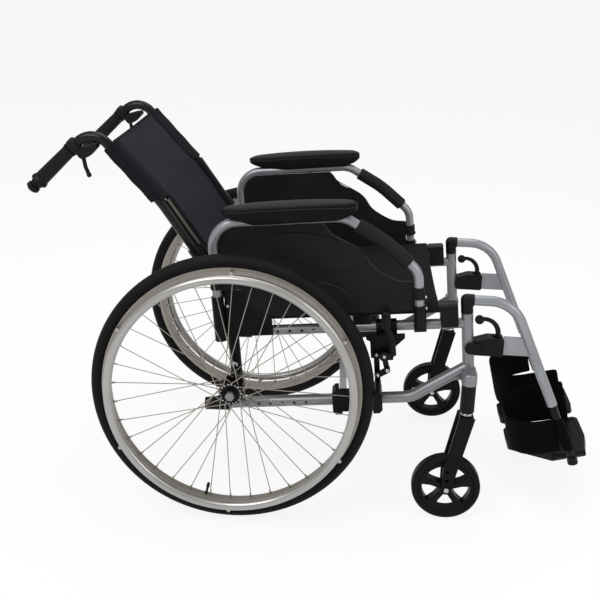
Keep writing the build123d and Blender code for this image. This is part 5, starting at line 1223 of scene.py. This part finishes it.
@dataclass
class Fasteners:
    """Screws, pivot caps and spring buttons on the frame, the brakes and the armrests."""

    fixings: tuple[Fixing, ...] = (
        Fixing("bracket_screw", SOCKET_SCREW, "side", ((0.026, 0.4615, 0.222),)),
        Fixing("bracket_rivets", PIN_CAP, "side",
               ((0.053, 0.433, 0.222), (0.046, 0.404, 0.222), (0.104, 0.404, 0.222)), 1.1,
               finish=BLACK_COAT, slot="black_metal"),
        Fixing("upright_bolt", PIN_CAP, "side", ((0.0290, 0.3235, 0.2172),), 1.5),
        Fixing("brake_caps", PIN_CAP, "side", ((0.35255, 0.34429, 0.2525), (0.33655, 0.34429, 0.2410)), 0.9),
        Fixing("brake_arm_cap", PIN_CAP, "brake_lever", ((0.35755, 0.31529, 0.258),)),
        Fixing("brake_bar_cap", PIN_CAP, "brake_shoe", ((0.33655, 0.30529, 0.258),)),
        Fixing("socket_button", BUTTON, "side", ((0.4443, 0.4435, 0.235),), facing=Facing.AHEAD),
        Fixing("collar_button", BUTTON, "armrest", ((0.4438, 0.4685, 0.235),), facing=Facing.AHEAD),
        Fixing("pad_screws", SOCKET_SCREW, "armrest", ((0.10, 0.6385, 0.232), (0.19, 0.6385, 0.232)), 0.9,
               Facing.DOWN, BLACK_COAT, "black_metal"),
    )

    def build(self) -> None:
        """Sets the fasteners on both sides."""
        for side, sign in SIDES:
            ways = {Facing.OUT: across(sign), Facing.AHEAD: LAYOUT.ahead(), Facing.DOWN: -LAYOUT.up()}
            for item in self.fixings:
                places = [(LAYOUT.tilted(s, t, sign * d), ways[item.facing]) for s, t, d in item.places]
                made = Copies(f"{item.name}_{side}", item.form, item.finish, item.size).on_points(places)
                Bench.fit(made, f"{item.body}_{side}", item.slot)


@dataclass
class PanelTrim:
    """Painted highlight along the scalloped front edge of both side panels, drawn as a lighter tube where
    light catches the rounded edge, and the lines moulded into them.
    """

    depth: float = 0.2285
    oval_d: float = 0.2295
    oval_s: float = 0.225
    oval_t: float = 0.577
    oval_length: float = 0.208
    oval_height: float = 0.070
    oval_turn: float = math.radians(-14)
    edge: tuple[Pair, ...] = (
        (0.237, 0.639), (0.256, 0.614), (0.313, 0.576), (0.340, 0.537), (0.384, 0.507), (0.4185, 0.501))
    low_line: tuple[Pair, ...] = (
        (0.2197, 0.5101), (0.2472, 0.5027), (0.2675, 0.4930), (0.2862, 0.4776), (0.2883, 0.4709))

    def build(self) -> None:
        """Makes the painted highlight along the edge, the oval and the low line of both panels."""
        # The edge run is painted highlight: a lighter tube standing in for the light caught by the panel's
        # rounded front edge.
        runs = (("edge", self.smooth(self.edge), self.depth, 0.0011, PIPING_AND_HIGHLIGHT, 8),
                ("oval", self.oval(), self.oval_d, 0.0008, THREAD, 6),
                ("line", self.smooth(self.low_line), self.depth - 0.0003, 0.0010, PIPING_AND_HIGHLIGHT, 6))
        for side, sign in SIDES:
            for name, run, depth, radius, finish, sides in runs:
                path = [LAYOUT.tilted(s, t, sign * depth) for s, t in run]
                made = Bench.tube(f"panel_{name}_{side}", path, radius, finish, sides)
                Bench.fit(made, f"armrest_{side}", "panel_plastic")

    def oval(self) -> list[Pair]:
        """Outline of the raised oval, once round and a little past its start."""
        c, s = math.cos(self.oval_turn), math.sin(self.oval_turn)
        points: list[Pair] = []
        steps = 64
        for k in range(steps + 2):
            a = 2 * math.pi * k / steps
            wide, high = self.oval_length / 2 * math.cos(a), self.oval_height / 2 * math.sin(a)
            points.append((self.oval_s + wide * c - high * s, self.oval_t + wide * s + high * c))
        return points

    @staticmethod
    def smooth(knots: Sequence[Pair]) -> list[Pair]:
        """Points along a curve that passes through the knots."""
        ends = [knots[0], *knots, knots[-1]]
        line: list[Pair] = []
        steps = 8
        for a, b, c, d in zip(ends, ends[1:], ends[2:], ends[3:]):
            for t in (k / steps for k in range(steps)):
                line.append(tuple(0.5 * (2 * q + (r - p) * t + (2 * p - 5 * q + 4 * r - w) * t * t
                                         + (3 * q - p - 3 * r + w) * t ** 3)
                                  for p, q, r, w in zip(a, b, c, d)))
        return line + [knots[-1]]


@dataclass
class Studio:
    """Pale floor, soft lights and a camera where the photographer stood."""

    camera_x: float = 0.2404
    camera_y: float = -2.1128
    camera_z: float = 1.2058
    yaw: float = math.radians(3.368)
    pitch: float = math.radians(16.678)
    roll: float = math.radians(1.86)
    lens: float = 57.436
    sensor: float = 36.0
    shift: float = -0.1167
    floor_half: float = 80.0
    light_level: float = 0.55
    floor_white: float = 0.86
    aim: tuple[float, float, float] = (0.0, 0.0, 0.4)
    lamps: tuple[tuple[str, tuple[float, float, float], float, float], ...] = (
        ("key", (-1.3, -2.2, 2.9), 2.2, 62.0), ("fill", (2.4, -1.6, 1.8), 2.0, 22.0),
        ("top", (0.2, 0.8, 3.4), 2.6, 40.0),
    )

    def build(self) -> None:
        """Sets up floor, world, lights, camera and the view transform."""
        self.floor()
        self.world()
        self.lights()
        self.camera()
        bpy.context.scene.view_settings.view_transform = "Standard"

    @staticmethod
    def seen(graph: Graph, *kinds: str) -> Wire:
        """Mask that is 1 for camera rays and for the other kinds of ray that are named."""
        rays = graph.node("ShaderNodeLightPath", out="Is Camera Ray")
        mask = rays
        for kind in kinds:
            mask = mask.math("MAXIMUM", mask, rays.beside(kind))
        return mask

    def floor(self) -> None:
        """Large pale floor that looks white to the camera and keeps the chair's shadow."""
        far = self.floor_half
        mesh = bpy.data.meshes.new("floor")
        mesh.from_pydata([(-far, -far, 0.0), (far, -far, 0.0), (far, far, 0.0), (-far, far, 0.0)], [],
                         [(0, 1, 2, 3)])
        pale = bpy.data.materials.new("floor_pale")
        graph = Graph.fresh(pale)
        speck = graph.noise(graph.node("ShaderNodeTexCoord", out="Object"), 3.0, 2.0)
        matt = graph.node("ShaderNodeBsdfDiffuse", {"Color": graph.tint(speck, (0.88,) * 3, (0.86,) * 3)})
        glow = graph.node("ShaderNodeEmission", {"Color": (1.0, 1.0, 1.0, 1.0), "Strength": 1.0})
        seen = self.seen(graph, "Is Glossy Ray", "Is Transmission Ray")
        mixed = graph.node("ShaderNodeMixShader", {0: seen * self.floor_white, 1: matt, 2: glow})
        graph.node("ShaderNodeOutputMaterial", {"Surface": mixed})
        mesh.materials.append(pale)
        Bench.link("floor", mesh)

    def world(self) -> None:
        """Surroundings that light the chair evenly and look white to the camera."""
        world = bpy.data.worlds.new("studio")
        bpy.context.scene.world = world
        graph = Graph.fresh(world)
        light, white = (graph.node("ShaderNodeBackground", {"Color": (1.0, 1.0, 1.0, 1.0), "Strength": level})
                        for level in (self.light_level, 1.0))
        seen = self.seen(graph, "Is Transmission Ray")
        mixed = graph.node("ShaderNodeMixShader", {0: seen, 1: light, 2: white})
        graph.node("ShaderNodeOutputWorld", {"Surface": mixed})

    def lights(self) -> None:
        """A broad key from the near side's rear, a fill from its front and a light above the far side."""
        for name, place, size, power in self.lamps:
            lamp = bpy.data.lights.new(name, "AREA")
            lamp.shape = "DISK"
            lamp.size = size
            lamp.energy = power
            aim = Vector(self.aim) - Vector(place)
            turn = aim.to_track_quat("-Z", "Y").to_matrix().to_4x4()
            Bench.link(name, lamp).matrix_world = Matrix.Translation(place) @ turn

    def camera(self) -> None:
        """Camera at the photograph's place, turned by yaw, pitch and roll."""
        ahead = Vector((-math.sin(self.yaw) * math.cos(self.pitch), math.cos(self.yaw) * math.cos(self.pitch),
                        -math.sin(self.pitch)))
        right = Vector((math.cos(self.yaw), math.sin(self.yaw), 0.0))
        up = right.cross(ahead)
        c, s = math.cos(self.roll), math.sin(self.roll)
        right, up = right * c + up * s, up * c - right * s
        lens = bpy.data.cameras.new("camera")
        lens.lens = self.lens
        lens.sensor_width = self.sensor
        lens.sensor_fit = "HORIZONTAL"
        lens.shift_y = self.shift
        lens.dof.use_dof = False
        holder = Bench.link("camera", lens)
        turn = Matrix((right, up, -ahead)).transposed().to_4x4()
        spot = Vector((self.camera_x + LAYOUT.axle().x, self.camera_y, self.camera_z))
        holder.matrix_world = Matrix.Translation(spot) @ turn
        bpy.context.scene.camera = holder


def main() -> None:
    """Builds the chair's dressing in order and reports each part of it."""
    logging.basicConfig(level=logging.INFO, format="%(message)s")
    for part in (Coats, SeatSling, BackSling, ArmPads, HeelStraps, WheelTrim, Fasteners, PanelTrim, Studio):
        LOG.info("building %s", part.__name__)
        part().build()


if __name__ == "__main__":
    main()
